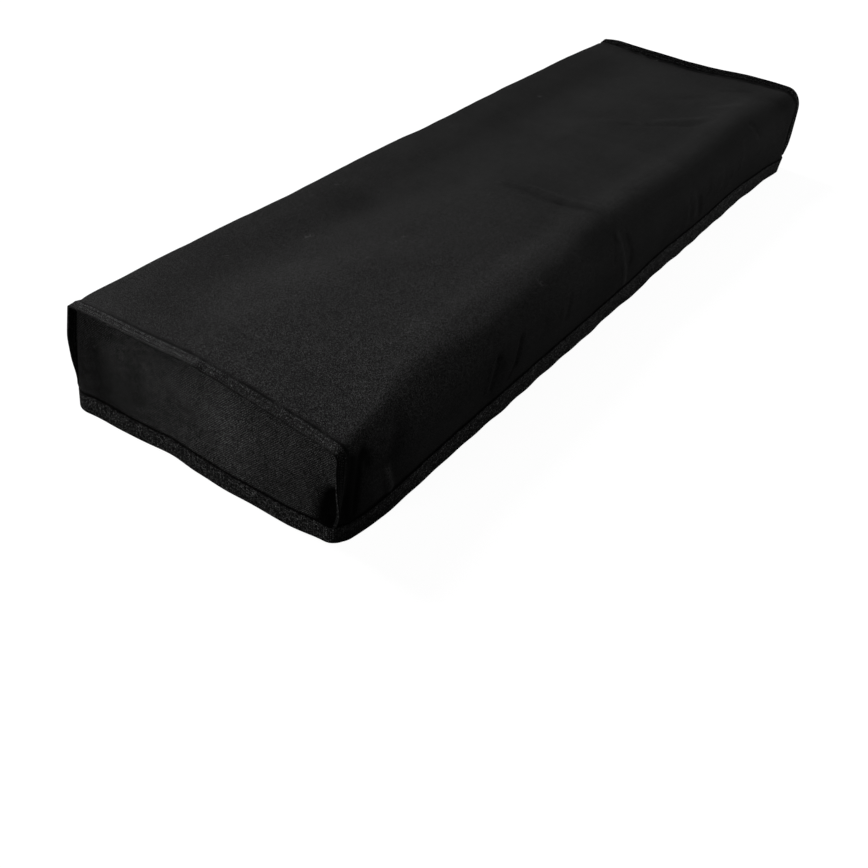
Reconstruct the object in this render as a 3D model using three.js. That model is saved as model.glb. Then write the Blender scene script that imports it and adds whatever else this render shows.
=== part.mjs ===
// Dust cover for an 88-key keyboard, in the shape it takes on the instrument: a hollow box of black cloth,
// open underneath. One length of cloth makes the front, top and back, and an end panel closes each end. A
// folded tape binds each end seam, which stands out as a ridge, and a folded ribbed tape binds the mouth.
// Millimetres. +X runs along the keyboard, -Y is the player's side, +Z is up, and the origin is in the middle
// of the mouth, at the height of its lowest edge.
import * as THREE from 'three';
import { mergeVertices } from 'three/addons/utils/BufferGeometryUtils.js';

// Driving dimensions
const MOUTH_LENGTH = 1306; // cloth at the mouth, along X
const MOUTH_WIDTH = 402; // cloth at the mouth, along Y
const MOUTH_ROUND = 26; // radius of the mouth's corners, seen from above
const SEAM_LEFT = -638.5; // where the left end seam crosses the top corners
const SEAM_RIGHT = 645.5; // the same for the right end seam
const TOP_WIDTH = 404; // between the front and the back at their tops
const TOP_HEIGHT = 136; // from the mouth to the long top edges
const BACK_ROUND = 6; // radius of the back top edge
const CLOTH = 1; // thickness of the cloth
const TAPE = 1; // thickness of the binding tapes
const GAP = 0.3; // clearance between pieces that touch
const HEM_HEIGHT = 24; // height of the folded tape round the mouth
const SEAM_WIDTH = 13.5; // how far a bound end seam stands out
const SEAM_FOOT_WIDTH = 6; // the same where it runs down to the hem
const SEAM_FULL_CLIMB = 0.16; // share of a side's height at which it reaches its full width
const SEAM_START = 4; // height above the hem where an end seam starts
const TAPE_SETBACK = [3, 4]; // from an end seam's stitch line to its tape's edges, on the wrap and the panel
const PANEL_SETOUT = 0.3; // from the stitch line to the inside of an end panel's bend
const PANEL_REACH = 60; // an end panel's drop at which it hangs back fully behind its seam

// What follows from them
const HALF_TOP = TOP_WIDTH / 2;
const MITRE = Math.PI / 4;
const STACK = GAP / 2 + CLOTH; // from the middle of an end seam to the far face of either cloth
const CLOTH_FOOT = TAPE + 2 * GAP; // the cloth's cut edge stands this high, inside the hem
const CLOTH_TOP_OF_HEM = HEM_HEIGHT + 0.4; // up to here the cloth follows the hem exactly
const DRAW_IN = 1.4; // how quickly the sides reach their full spread above the hem
const FOOT_LEAN = Math.PI / 9; // an end seam's turn towards the mouth's corner, at its foot
const WRAP_PAST = CLOTH / MITRE; // inside the hem the wrap runs this far past the middle of a corner
const PANEL_SHORT = (STACK + GAP) / MITRE; // and an end panel stops this far short of it

// Sections across the cover. back, quarter, middle, threeQuarter and front are heights of the top above
// TOP_HEIGHT at those shares of the depth, and round is the radius of the front top edge.
const SECTIONS = [
  { x: -640, back: 0, quarter: 2, middle: 7, threeQuarter: 3, front: -3, round: 13 },
  { x: -580, back: 1, quarter: 1, middle: 7, threeQuarter: 5, front: -1, round: 24 },
  { x: -490, back: 2, quarter: -1, middle: 6, threeQuarter: 6, front: 0, round: 42 },
  { x: -357, back: 3, quarter: -3, middle: 4, threeQuarter: 5, front: 0, round: 31 },
  { x: -128, back: 4, quarter: -3, middle: 3, threeQuarter: 4, front: 0, round: 43 },
  { x: -5, back: 5, quarter: -3, middle: 2, threeQuarter: 3, front: -1, round: 54 },
  { x: 195, back: 5, quarter: -3, middle: 2, threeQuarter: 3, front: 0, round: 40 },
  { x: 498, back: 5, quarter: -3, middle: 0, threeQuarter: 3, front: 2, round: 44 },
  { x: 646, back: 1, quarter: -2, middle: -3, threeQuarter: 3, front: 4, round: 28 },
];

// End seams over the top. depth runs from the back (0) to the front (1), inset is how far the stitch line is
// drawn in along X, and lean is the angle of the ridge above level, in degrees.
const LEFT_SEAM = [
  { depth: 0, inset: 6, lean: -14 },
  { depth: 0.12, inset: 8.5, lean: -24 },
  { depth: 0.45, inset: 8, lean: -20 },
  { depth: 0.7, inset: 5, lean: -16 },
  { depth: 0.9, inset: 3, lean: -6 },
  { depth: 1, inset: 0, lean: 0 },
];
const RIGHT_SEAM = [
  { depth: 0, inset: 2, lean: 30 },
  { depth: 0.3, inset: 4, lean: 50 },
  { depth: 0.65, inset: 3, lean: 45 },
  { depth: 1, inset: 0, lean: 20 },
];

// The mouth's four sides. at runs along X on the front and back and along Y on the ends, out is how far the
// cloth stands outside the mouth's plain outline at the top of the hem, and flare is how much further its
// lower edge stands.
const FRONT_HEM = [
  { at: -640, out: -5, flare: 0 },
  { at: -590, out: 0, flare: 1.6 },
  { at: -435, out: -3, flare: 4 },
  { at: -200, out: -5, flare: 5 },
  { at: 10, out: -7, flare: 5.5 },
  { at: 145, out: -11, flare: 8 },
  { at: 300, out: -9, flare: 6 },
  { at: 430, out: -10, flare: 6.5 },
  { at: 560, out: -4, flare: 2 },
  { at: 640, out: 3, flare: 1 },
];
const BACK_HEM = [
  { at: -640, out: 3, flare: 1 },
  { at: -420, out: -4, flare: 5 },
  { at: -120, out: -6, flare: 6 },
  { at: 200, out: -4, flare: 6 },
  { at: 450, out: -7, flare: 6 },
  { at: 640, out: 0, flare: 1 },
];
const LEFT_HEM = [
  { at: -190, out: -5, flare: 0 },
  { at: -172, out: -6, flare: 0 },
  { at: -130, out: -2, flare: 1 },
  { at: -60, out: -1, flare: 1 },
  { at: 0, out: -2, flare: 2 },
  { at: 45, out: -4, flare: 1 },
  { at: 100, out: 0, flare: 2 },
  { at: 160, out: 1.4, flare: 3.4 },
  { at: 190, out: 3, flare: 1 },
];
const RIGHT_HEM = [
  { at: -190, out: 3, flare: 1 },
  { at: -70, out: -3, flare: 3 },
  { at: 80, out: -2, flare: 2 },
  { at: 190, out: 0, flare: 1 },
];

// Main folds, each a soft ridge, or a trough where rise is negative, along a straight line on the cloth.
// width is from its middle to where it has almost gone.
const WRAP_FOLDS = [
  { from: [-17, 0, 138], to: [-12, -150, 138], width: 34, rise: -3.5 },
  { from: [12, -30, 138], to: [14, -150, 138], width: 30, rise: 1.8 },
  { from: [-12, -150, 136], to: [-22, -196, 100], width: 30, rise: -3 },
  { from: [-386, -202, 128], to: [-368, -202, 78], width: 26, rise: -3 },
  { from: [-306, -202, 100], to: [-330, -202, 58], width: 26, rise: -2.5 },
  { from: [-345, -202, 100], to: [-345, -202, 60], width: 26, rise: 3 },
  { from: [290, 10, 138], to: [440, -128, 138], width: 28, rise: 2.5 },
  { from: [300, -20, 138], to: [430, -150, 138], width: 26, rise: -2 },
  { from: [-570, -202, 70], to: [-560, -202, 30], width: 24, rise: 3 },
  { from: [-636, -202, 118], to: [-624, -198, 34], width: 16, rise: -3 },
];
const LEFT_PANEL_FOLDS = [
  { from: [-645, 170, 112], to: [-645, 112, 90], width: 24, rise: -3 },
  { from: [-648, 102, 84], to: [-648, 96, 46], width: 22, rise: -3 },
  { from: [-645, -186, 72], to: [-648, -172, 34], width: 26, rise: -5 },
];
const RIGHT_PANEL_FOLDS = [
  { from: [648, 150, 110], to: [648, 60, 50], width: 34, rise: -3 },
  { from: [648, -180, 90], to: [648, -120, 40], width: 30, rise: -3 },
];

const CLOTH_MATERIAL = new THREE.MeshStandardMaterial({ color: 0x1c1c1d, roughness: 0.88, metalness: 0 });
const TAPE_MATERIAL = new THREE.MeshStandardMaterial({ color: 0x202021, roughness: 0.8, metalness: 0 });

// The two ends. way is the sign of X that the end faces, x is where its seam crosses the top corners, and
// share is where the seam lies along the wrap.
const LEFT = { name: 'left', way: -1, x: SEAM_LEFT, share: 0, seam: LEFT_SEAM, folds: LEFT_PANEL_FOLDS };
const RIGHT = { name: 'right', way: 1, x: SEAM_RIGHT, share: 1, seam: RIGHT_SEAM, folds: RIGHT_PANEL_FOLDS };

const X = new THREE.Vector3(1, 0, 0);

// A smooth curve through one column of a table.
function readTable(rows, key, column, at) {
  const last = rows.length - 1;
  let row = 0;
  while (row < last - 1 && at > rows[row + 1][key]) row += 1;
  const slope = (index) => {
    const before = rows[Math.max(index - 1, 0)];
    const after = rows[Math.min(index + 1, last)];
    return (after[column] - before[column]) / (after[key] - before[key]);
  };
  const low = rows[row];
  const high = rows[row + 1];
  const span = high[key] - low[key];
  const t = THREE.MathUtils.clamp((at - low[key]) / span, 0, 1);
  const rest = 1 - t;
  return (
    low[column] * rest * rest * (1 + 2 * t) +
    high[column] * t * t * (3 - 2 * t) +
    slope(row) * span * t * rest * rest -
    slope(row + 1) * span * t * t * rest
  );
}

// The top's height at x and y.
function topHeight(x, y) {
  const depth = THREE.MathUtils.clamp((HALF_TOP - y) / TOP_WIDTH, 0, 1);
  const across = ['back', 'quarter', 'middle', 'threeQuarter', 'front'].map((column, index) => ({
    depth: index / 4,
    rise: readTable(SECTIONS, 'x', column, x),
  }));
  return TOP_HEIGHT + readTable(across, 'depth', 'rise', depth);
}

// The sum of a list of folds at a point, along the cloth's outward direction.
function foldRise(folds, point) {
  let rise = 0;
  for (const fold of folds) {
    const line = new THREE.Line3(new THREE.Vector3(...fold.from), new THREE.Vector3(...fold.to));
    const nearest = line.closestPointToPoint(point, true, new THREE.Vector3());
    const distance = nearest.distanceTo(point) / fold.width;
    rise += fold.rise * Math.exp(-4 * distance * distance);
  }
  return rise;
}

// One side of the mouth: from one corner of its plain outline to the next, and the way it faces.
function mouthSide(start, end, out, rows) {
  const along = end.clone().sub(start);
  const length = along.length();
  along.normalize();
  const atStart = Math.abs(along.x) > 0.5 ? start.x : start.y;
  return { start, along, length, out, rows, atStart };
}

const mouthCorner = (x, y) => new THREE.Vector3((x * MOUTH_LENGTH) / 2, (y * MOUTH_WIDTH) / 2, 0);
const MOUTH = {
  front: mouthSide(mouthCorner(-1, -1), mouthCorner(1, -1), new THREE.Vector3(0, -1, 0), FRONT_HEM),
  back: mouthSide(mouthCorner(-1, 1), mouthCorner(1, 1), new THREE.Vector3(0, 1, 0), BACK_HEM),
  left: mouthSide(mouthCorner(-1, -1), mouthCorner(-1, 1), new THREE.Vector3(-1, 0, 0), LEFT_HEM),
  right: mouthSide(mouthCorner(1, -1), mouthCorner(1, 1), new THREE.Vector3(1, 0, 0), RIGHT_HEM),
};

// A point of the hem: share runs from 0 to 1 between the middles of a side's two rounded corners, height is
// above the mouth, and proud is how far the point stands outside the cloth's outer face.
function hemPoint(side, share, height, proud = 0) {
  const distance = share * side.length;
  const fromStart = Math.max(1 - distance / MOUTH_ROUND, 0) * MITRE;
  const fromEnd = Math.max(1 - (side.length - distance) / MOUTH_ROUND, 0) * MITRE;
  const turn = fromStart + fromEnd;
  const run = THREE.MathUtils.clamp(distance, MOUTH_ROUND, side.length - MOUTH_ROUND);
  const facing = side.out.clone().multiplyScalar(Math.cos(turn));
  facing.addScaledVector(side.along, Math.sin(fromEnd) - Math.sin(fromStart));
  const at = side.atStart + distance;
  const flare = readTable(side.rows, 'at', 'flare', at) * (1 - height / CLOTH_TOP_OF_HEM);
  const out = readTable(side.rows, 'at', 'out', at) + flare;
  const point = side.start.clone().addScaledVector(side.along, run).addScaledVector(side.out, -MOUTH_ROUND);
  point.addScaledVector(facing, MOUTH_ROUND + out + proud);
  point.z = height;
  return point;
}

// A point of a wall between the top of the hem (climb 0) and the foot of the top edge's rounding (climb 1).
function wallPoint(side, share, edge, climb) {
  const foot = hemPoint(side, share, CLOTH_TOP_OF_HEM);
  const spread = 1 - (1 - climb) ** DRAW_IN;
  const point = foot.clone().lerp(edge, spread);
  point.z = THREE.MathUtils.lerp(foot.z, edge.z, climb);
  return point;
}

// How far an end seam is drawn in along X, at a share of the depth and, on the sides, at a climb.
const seamInset = (end, depth, climb) => readTable(end.seam, 'depth', 'inset', depth) * climb ** 3;

// A point of the wrap inside the hem, where around runs from 0 to 1 in front and from 6 to 7 behind.
function hemmedWrap(share, around, proud = 0) {
  const front = around <= 1;
  const up = front ? around : 7 - around;
  const height = THREE.MathUtils.lerp(CLOTH_FOOT, CLOTH_TOP_OF_HEM, up);
  return hemPoint(front ? MOUTH.front : MOUTH.back, share, height, proud);
}

// The wrap's outer face before its folds. share runs from the left seam (0) to the right one (1). around runs
// from the front's cut edge over the top to the back's: hem 0 to 1, front 1 to 2, rounding 2 to 3, top 3 to
// 4, rounding 4 to 5, back 5 to 6 and hem 6 to 7.
function plainWrap(share, around) {
  const part = Math.min(Math.floor(around), 6);
  const t = around - part;
  const front = part < 3;
  const side = front ? MOUTH.front : MOUTH.back;
  const facing = front ? -1 : 1;
  if (part === 0 || part === 6) return hemmedWrap(share, around);
  const climb = part === 1 ? t : part === 5 ? 1 - t : 1;
  const plainX = THREE.MathUtils.lerp(SEAM_LEFT, SEAM_RIGHT, share);
  const round = { [-1]: readTable(SECTIONS, 'x', 'round', plainX), [1]: BACK_ROUND };
  let y = facing * HALF_TOP;
  let drop = round[facing];
  if (part === 3) {
    y = THREE.MathUtils.lerp(-HALF_TOP + round[-1], HALF_TOP - round[1], t);
    drop = 0;
  } else if (part === 2 || part === 4) {
    const angle = (front ? t : 1 - t) * (Math.PI / 2);
    y = facing * (HALF_TOP - round[facing] * (1 - Math.cos(angle)));
    drop = round[facing] * (1 - Math.sin(angle));
  }
  const depth = (HALF_TOP - y) / TOP_WIDTH;
  const drawnLeft = seamInset(LEFT, depth, climb) * (1 - share);
  const drawnRight = seamInset(RIGHT, depth, climb) * share;
  const x = plainX + drawnLeft - drawnRight;
  const edge = new THREE.Vector3(x, y, topHeight(x, y) - drop);
  return part === 1 || part === 5 ? wallPoint(side, share, edge, climb) : edge;
}

// The direction a surface faces at a place on it, from its slopes both ways.
function facingOf(surface, a, b, lowA, highA, lowB, highB) {
  const step = 1e-4;
  const [a0, a1] = [Math.max(a - step, lowA), Math.min(a + step, highA)];
  const [b0, b1] = [Math.max(b - step, lowB), Math.min(b + step, highB)];
  const alongA = surface(a1, b).sub(surface(a0, b));
  const alongB = surface(a, b1).sub(surface(a, b0));
  return alongA.cross(alongB).normalize();
}

const plainWrapFacing = (share, around) => facingOf(plainWrap, share, around, 0, 1, 0, 7);

// The wrap's outer face with its folds, which die out in the hem.
function wrap(share, around) {
  const point = plainWrap(share, around);
  const clear = THREE.MathUtils.smoothstep(point.z, HEM_HEIGHT + 1, HEM_HEIGHT + 12);
  if (clear === 0) return point;
  const rise = foldRise(WRAP_FOLDS, point) * clear;
  return point.addScaledVector(plainWrapFacing(share, around), rise);
}

const wrapFacing = (share, around) => facingOf(wrap, share, around, 0, 1, 0, 7);

// An end seam at a place around the section: where its two cloths meet (root), the direction in which the
// ridge stands out, the direction from its middle towards the wrap, and the ridge's width.
function endSeam(end, around) {
  const outer = wrap(end.share, around);
  const part = Math.floor(around);
  const climb = part === 1 ? around - 1 : part === 5 ? 6 - around : 1;
  const rounding = part === 2 ? around - 2 : part === 4 ? 5 - around : part === 3 ? 1 : 0;
  const facing = around < 3.5 ? -1 : 1;
  const angle = rounding * (Math.PI / 2);
  const away = new THREE.Vector3(0, facing * Math.cos(angle), Math.sin(angle));
  const depth = (HALF_TOP - outer.y) / TOP_WIDTH;
  const topLean = THREE.MathUtils.degToRad(readTable(end.seam, 'depth', 'lean', depth));
  const lean = topLean * Math.sin(angle) ** 2 + FOOT_LEAN * (1 - climb);
  const out = X.clone().multiplyScalar(end.way * Math.cos(lean)).addScaledVector(away, Math.sin(lean));
  const towardsWrap = away.clone().multiplyScalar(Math.cos(lean));
  towardsWrap.addScaledVector(X, -end.way * Math.sin(lean));
  const spread = THREE.MathUtils.smoothstep(climb, 0, SEAM_FULL_CLIMB);
  const width = THREE.MathUtils.lerp(SEAM_FOOT_WIDTH, SEAM_WIDTH, spread);
  return { root: outer.addScaledVector(towardsWrap, -STACK), out, towardsWrap, width };
}

// A point of an end seam: how far it stands out from the root, and how far towards the wrap.
const seamPoint = (seam, out, towardsWrap) =>
  seam.root.clone().addScaledVector(seam.out, out).addScaledVector(seam.towardsWrap, towardsWrap);

// The inner corner of a bend in the cloth, from its outer corner and the directions its two faces look.
function innerCorner(outer, facingA, facingB) {
  const middle = facingA.clone().add(facingB);
  return outer.clone().addScaledVector(middle, -CLOTH / (1 + facingA.dot(facingB)));
}

// A closed sheet: a flat box of columns by rows, each corner of which is moved to its place on the outer
// (face 1) or the inner (face 0) side.
function sheet(name, material, columns, rows, place) {
  const box = new THREE.BoxGeometry(1, 1, 1, columns.length - 1, rows.length - 1, 1);
  box.deleteAttribute('normal');
  box.deleteAttribute('uv');
  const geometry = mergeVertices(box);
  const corners = geometry.getAttribute('position');
  const outward = [];
  for (let i = 0; i < corners.count; i += 1) {
    const column = columns[Math.round((corners.getX(i) + 0.5) * (columns.length - 1))];
    const row = rows[Math.round((corners.getY(i) + 0.5) * (rows.length - 1))];
    const faces = [place(column, row, 0), place(column, row, 1)];
    outward.push(faces[1].clone().sub(faces[0]));
    corners.setXYZ(i, ...faces[corners.getZ(i) > 0 ? 1 : 0]);
  }
  splitQuads(geometry, outward);
  if (signedVolume(geometry) < 0) geometry.index.array.reverse();
  geometry.computeVertexNormals();
  const mesh = new THREE.Mesh(geometry, material);
  mesh.name = name;
  return mesh;
}

// Splits each four-cornered face along the diagonal that stands further outwards, so that layers that lie on
// each other bend along the same lines.
function splitQuads(geometry, outward) {
  const corners = geometry.getAttribute('position');
  const index = geometry.index.array;
  const middle = (i, j) => {
    const start = new THREE.Vector3().fromBufferAttribute(corners, i);
    return start.add(new THREE.Vector3().fromBufferAttribute(corners, j)).multiplyScalar(0.5);
  };
  for (let i = 0; i < index.length; i += 6) {
    const [a, b, d, , c] = index.slice(i, i + 6);
    if (middle(a, c).sub(middle(b, d)).dot(outward[a]) > 0) index.set([a, b, c, a, c, d], i);
  }
}

// Positive where a closed mesh's faces point outwards.
function signedVolume(geometry) {
  const corners = geometry.getAttribute('position');
  const corner = (i) => new THREE.Vector3().fromBufferAttribute(corners, geometry.index.getX(i));
  let volume = 0;
  for (let i = 0; i < geometry.index.count; i += 3) {
    volume += corner(i).dot(corner(i + 1).cross(corner(i + 2)));
  }
  return volume / 6;
}

// count + 1 evenly spaced values from one to another, less the first.
const steps = (from, to, count) =>
  Array.from({ length: count }, (_, index) => from + ((to - from) * (index + 1)) / count);

// Places along the cover shared by the wrap and the hem: closer together in the mouth's rounded corners.
const CORNER_SHARE = MOUTH_ROUND / MOUTH_LENGTH;
const ALONG = [
  0,
  ...steps(0, CORNER_SHARE, 3),
  ...steps(CORNER_SHARE, 1 - CORNER_SHARE, 26),
  ...steps(1 - CORNER_SHARE, 1, 3),
];

// Places round the section. FRONT_START and BACK_END are where the end seams start above the hem.
const SEAM_CLIMB = SEAM_START / (TOP_HEIGHT - HEM_HEIGHT);
const FRONT_START = 1 + SEAM_CLIMB;
const BACK_END = 6 - SEAM_CLIMB;
const SEAM_AROUND = [
  FRONT_START,
  ...steps(FRONT_START, 2, 5),
  ...steps(2, 3, 4),
  ...steps(3, 4, 8),
  ...steps(4, 5, 4),
  ...steps(5, BACK_END, 5),
];
const WRAP_AROUND = [0, 1, ...SEAM_AROUND, 6, 7];

// The wrap's columns: 0 and 1 are its end seams, and the ones beyond them its cut edges in the two ridges.
const WRAP_ALONG = [-1, ...ALONG, 2];

function wrapPlace(column, around, side) {
  const end = column < 0.5 ? LEFT : RIGHT;
  const inRidge = column < 0 || column > 1;
  const atSeam = column === 0 || column === 1;
  const share = THREE.MathUtils.clamp(column, 0, 1);
  if (around <= 1 || around >= 6) {
    const past = inRidge ? WRAP_PAST : atSeam ? WRAP_PAST - GAP / 2 : 0;
    return hemmedWrap(share + (end.way * past) / MOUTH_LENGTH, around, side ? 0 : -CLOTH);
  }
  if (inRidge) {
    const seam = endSeam(end, around);
    return seamPoint(seam, seam.width - TAPE - 2 * GAP, side ? STACK : GAP / 2);
  }
  const facing = wrapFacing(share, around);
  if (atSeam) {
    const seam = endSeam(end, around);
    const outer = seamPoint(seam, 0, STACK);
    return side ? outer : innerCorner(outer, facing, seam.towardsWrap);
  }
  const outer = wrap(share, around);
  return side ? outer : outer.addScaledVector(facing, -CLOTH);
}

// For each place round an end seam, the share of the end's hem below it, by the length of the seam so far.
function hemShares(end) {
  const roots = SEAM_AROUND.map((around) => endSeam(end, around).root);
  const lengths = [0];
  for (let i = 1; i < roots.length; i += 1) lengths.push(lengths[i - 1] + roots[i].distanceTo(roots[i - 1]));
  const total = lengths[lengths.length - 1];
  const edge = PANEL_SHORT / MOUTH_WIDTH;
  return lengths.map((length) => THREE.MathUtils.lerp(edge, 1 - edge, length / total));
}

// The height of an end panel's cloth inside the hem, where fall runs from the top of the hem (1) to the
// cloth's cut edge (2).
const hemmedHeight = (fall) => THREE.MathUtils.lerp(CLOTH_TOP_OF_HEM, CLOTH_FOOT, fall - 1);

// An end panel's outer face. column counts the places round its seam and fall runs from the seam (0) to the
// top of the hem (1), and on to the cloth's cut edge (2). The folds die out at the seam and at the hem.
function panelSurface(end, side, shares) {
  return (column, fall) => {
    const index = THREE.MathUtils.clamp(Math.floor(column), 0, SEAM_AROUND.length - 2);
    const t = column - index;
    const around = THREE.MathUtils.lerp(SEAM_AROUND[index], SEAM_AROUND[index + 1], t);
    const share = THREE.MathUtils.lerp(shares[index], shares[index + 1], t);
    if (fall >= 1) return hemPoint(side, share, hemmedHeight(fall));
    const top = seamPoint(endSeam(end, around), PANEL_SETOUT + CLOTH, -STACK);
    const foot = hemPoint(side, share, CLOTH_TOP_OF_HEM);
    const point = top.clone().lerp(foot, fall);
    const climb = THREE.MathUtils.clamp((point.z - foot.z) / (TOP_HEIGHT - foot.z), 0, 1);
    const plain = end.x + (foot.x - end.x) * (1 - climb) ** DRAW_IN;
    const drawn = Math.min(top.distanceTo(foot) / PANEL_REACH, 1) * Math.min(fall * 2, 1);
    point.x = THREE.MathUtils.lerp(point.x, plain, drawn);
    const insideEdges = Math.min(fall * 6, (1 - fall) * 6, 1);
    point.x += end.way * foldRise(end.folds, point) * insideEdges;
    return point;
  };
}

function endPanel(end) {
  const side = MOUTH[end.name];
  const shares = hemShares(end);
  const surface = panelSurface(end, side, shares);
  const last = SEAM_AROUND.length - 1;
  const facing = (column, fall) =>
    facingOf(surface, column, fall, 0, last, 0, 2).multiplyScalar(end.way * -1);
  const columns = shares.map((_, index) => index);
  const place = (column, fall, face) => {
    if (fall >= 1) return hemPoint(side, shares[column], hemmedHeight(fall), face ? 0 : -CLOTH);
    if (fall > 0 && (column === 0 || column === last)) {
      return place(column, 0, face).lerp(place(column, 1, face), fall);
    }
    if (fall > 0) {
      const outer = surface(column, fall);
      return face ? outer : outer.addScaledVector(facing(column, fall), -CLOTH);
    }
    const seam = endSeam(end, SEAM_AROUND[column]);
    const bend = facing(column, 0).angleTo(seam.towardsWrap.clone().negate());
    const corner = PANEL_SETOUT + (face ? CLOTH * Math.tan(bend / 2) : 0);
    const edge = seam.width - TAPE - 2 * GAP;
    return seamPoint(seam, fall < 0 ? edge : corner, face ? -STACK : -GAP / 2);
  };
  const falls = [-1, 0, 0.04, 0.18, 0.36, 0.54, 0.72, 0.88, 1, 2];
  return sheet(`end_panel_${end.name}`, CLOTH_MATERIAL, columns, falls, place);
}

// The tape over an end seam, from its edge on the wrap, round the fold, to its edge on the end panel. at is 0
// for a place measured from the seam's root and 1 for one measured from the fold, and each face gives how far
// out from there it is and how far from the middle of the seam towards the wrap.
const LEG = STACK + 1.5 * GAP;
const SEAM_TAPE = [
  { at: 0, outer: [TAPE_SETBACK[0], LEG + TAPE], inner: [TAPE_SETBACK[0], LEG] },
  { at: 1, outer: [-TAPE, LEG + TAPE], inner: [-TAPE - GAP, LEG] },
  { at: 1, outer: [0, 0], inner: [-TAPE, 0] },
  { at: 1, outer: [-TAPE, -LEG - TAPE], inner: [-TAPE - GAP, -LEG] },
  { at: 0, outer: [TAPE_SETBACK[1], -LEG - TAPE], inner: [TAPE_SETBACK[1], -LEG] },
];

function endBinding(end) {
  const place = (around, row, face) => {
    const seam = endSeam(end, around);
    const [out, towardsWrap] = face ? row.outer : row.inner;
    return seamPoint(seam, row.at * seam.width + out, towardsWrap);
  };
  return sheet(`end_binding_${end.name}`, TAPE_MATERIAL, SEAM_AROUND, SEAM_TAPE, place);
}

// The tape round the mouth, from its outer edge, round the fold under the cloth, to its inner edge.
const INSIDE = -CLOTH - GAP;
const HEM_TAPE = [
  { outer: [GAP + TAPE, HEM_HEIGHT], inner: [GAP, HEM_HEIGHT] },
  { outer: [GAP + TAPE, TAPE], inner: [GAP, TAPE + GAP] },
  { outer: [-CLOTH / 2, 0], inner: [-CLOTH / 2, TAPE] },
  { outer: [INSIDE - TAPE, TAPE], inner: [INSIDE, TAPE + GAP] },
  { outer: [INSIDE - TAPE, HEM_HEIGHT], inner: [INSIDE, HEM_HEIGHT] },
];
const TAPE_JOIN = GAP / 2 / MOUTH_LENGTH; // half the slit where its ends meet, in the middle of the back

function hemBinding() {
  const on = (side, shares) => shares.map((share) => ({ side: MOUTH[side], share }));
  const inner = (shares) => shares.slice(1, -1);
  const middle = ALONG.findIndex((share) => share > 0.5 - 1e-9);
  const back = ALONG.slice(middle + 1).reverse();
  const corners = [-WRAP_PAST / MOUTH_LENGTH, 1 + WRAP_PAST / MOUTH_LENGTH];
  const loop = [
    ...on('back', [0.5 - TAPE_JOIN, ...ALONG.slice(1, middle).reverse(), corners[0]]),
    ...on('left', inner(hemShares(LEFT)).reverse()),
    ...on('front', [corners[0], ...inner(ALONG), corners[1]]),
    ...on('right', inner(hemShares(RIGHT))),
    ...on('back', [corners[1], ...back.slice(1), 0.5 + TAPE_JOIN]),
  ];
  const place = (at, row, face) => {
    const [proud, height] = face ? row.outer : row.inner;
    return hemPoint(at.side, at.share, height, proud);
  };
  return sheet('hem_binding', TAPE_MATERIAL, loop, HEM_TAPE, place);
}

const cover = new THREE.Group();
cover.name = 'keyboard_dust_cover';
cover.add(sheet('wrap_panel', CLOTH_MATERIAL, WRAP_ALONG, WRAP_AROUND, wrapPlace));
for (const end of [LEFT, RIGHT]) {
  cover.add(endPanel(end));
  cover.add(endBinding(end));
}
cover.add(hemBinding());

export default cover;
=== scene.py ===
"""Looks of the dust cover for an 88-key keyboard: a fitted black cloth cover with bound end seams and a hem
of ribbed tape.

The sheets repeat the shapes of the CAD pieces, in millimetres, at a finer scale and with smaller wrinkles.
Each is made a closed mesh in metres, so that it lies where its CAD solid does.
"""
import math
from types import SimpleNamespace

import bpy
import numpy as np
from mathutils import Matrix, Vector


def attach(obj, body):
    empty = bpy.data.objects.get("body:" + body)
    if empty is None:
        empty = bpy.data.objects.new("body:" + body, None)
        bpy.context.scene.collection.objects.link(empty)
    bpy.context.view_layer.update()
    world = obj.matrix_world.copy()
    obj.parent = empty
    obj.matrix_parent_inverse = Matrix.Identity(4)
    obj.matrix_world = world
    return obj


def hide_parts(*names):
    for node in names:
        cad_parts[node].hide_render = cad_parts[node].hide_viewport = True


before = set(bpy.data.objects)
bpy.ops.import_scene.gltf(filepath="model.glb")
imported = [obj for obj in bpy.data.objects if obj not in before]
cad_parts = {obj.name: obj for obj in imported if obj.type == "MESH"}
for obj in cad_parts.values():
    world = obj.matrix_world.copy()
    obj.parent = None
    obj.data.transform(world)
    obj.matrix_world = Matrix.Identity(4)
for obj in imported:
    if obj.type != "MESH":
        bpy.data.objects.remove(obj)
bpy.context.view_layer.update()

MM = 0.001

# Driving dimensions of the cover, as in the CAD
MOUTH_LENGTH = 1306
MOUTH_WIDTH = 402
MOUTH_ROUND = 26
SEAM_LEFT = -638.5
SEAM_RIGHT = 645.5
TOP_WIDTH = 404
TOP_HEIGHT = 136
BACK_ROUND = 6
CLOTH = 1
TAPE = 1
GAP = 0.3
HEM_HEIGHT = 24
SEAM_WIDTH = 13
SEAM_START = 4
PANEL_SETOUT = 0.3
PANEL_REACH = 60

HALF_TOP = TOP_WIDTH / 2
MITRE = np.pi / 4
STACK = GAP / 2 + CLOTH
CLOTH_FOOT = TAPE + 2 * GAP
CLOTH_TOP_OF_HEM = HEM_HEIGHT + 0.4
DRAW_IN = 1.4
WRAP_PAST = CLOTH / MITRE
PANEL_SHORT = (STACK + GAP) / MITRE

# x, then the top's height above TOP_HEIGHT at the back, a quarter, the middle, three quarters and the front,
# and the radius of the front top edge
SECTIONS = (
    (-640, 0, 2, 7, 3, -3, 13),
    (-580, 1, 1, 7, 5, -1, 24),
    (-490, 2, -1, 6, 6, 0, 42),
    (-357, 3, -3, 4, 5, 0, 31),
    (-128, 4, -3, 3, 4, 0, 43),
    (-5, 5, -3, 2, 3, -1, 54),
    (195, 5, -3, 2, 3, 0, 40),
    (498, 5, -3, 0, 3, 2, 44),
    (646, 1, -2, -3, 3, 4, 28),
)
SECTION_DEPTHS = (0, 0.25, 0.5, 0.75, 1)

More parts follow.
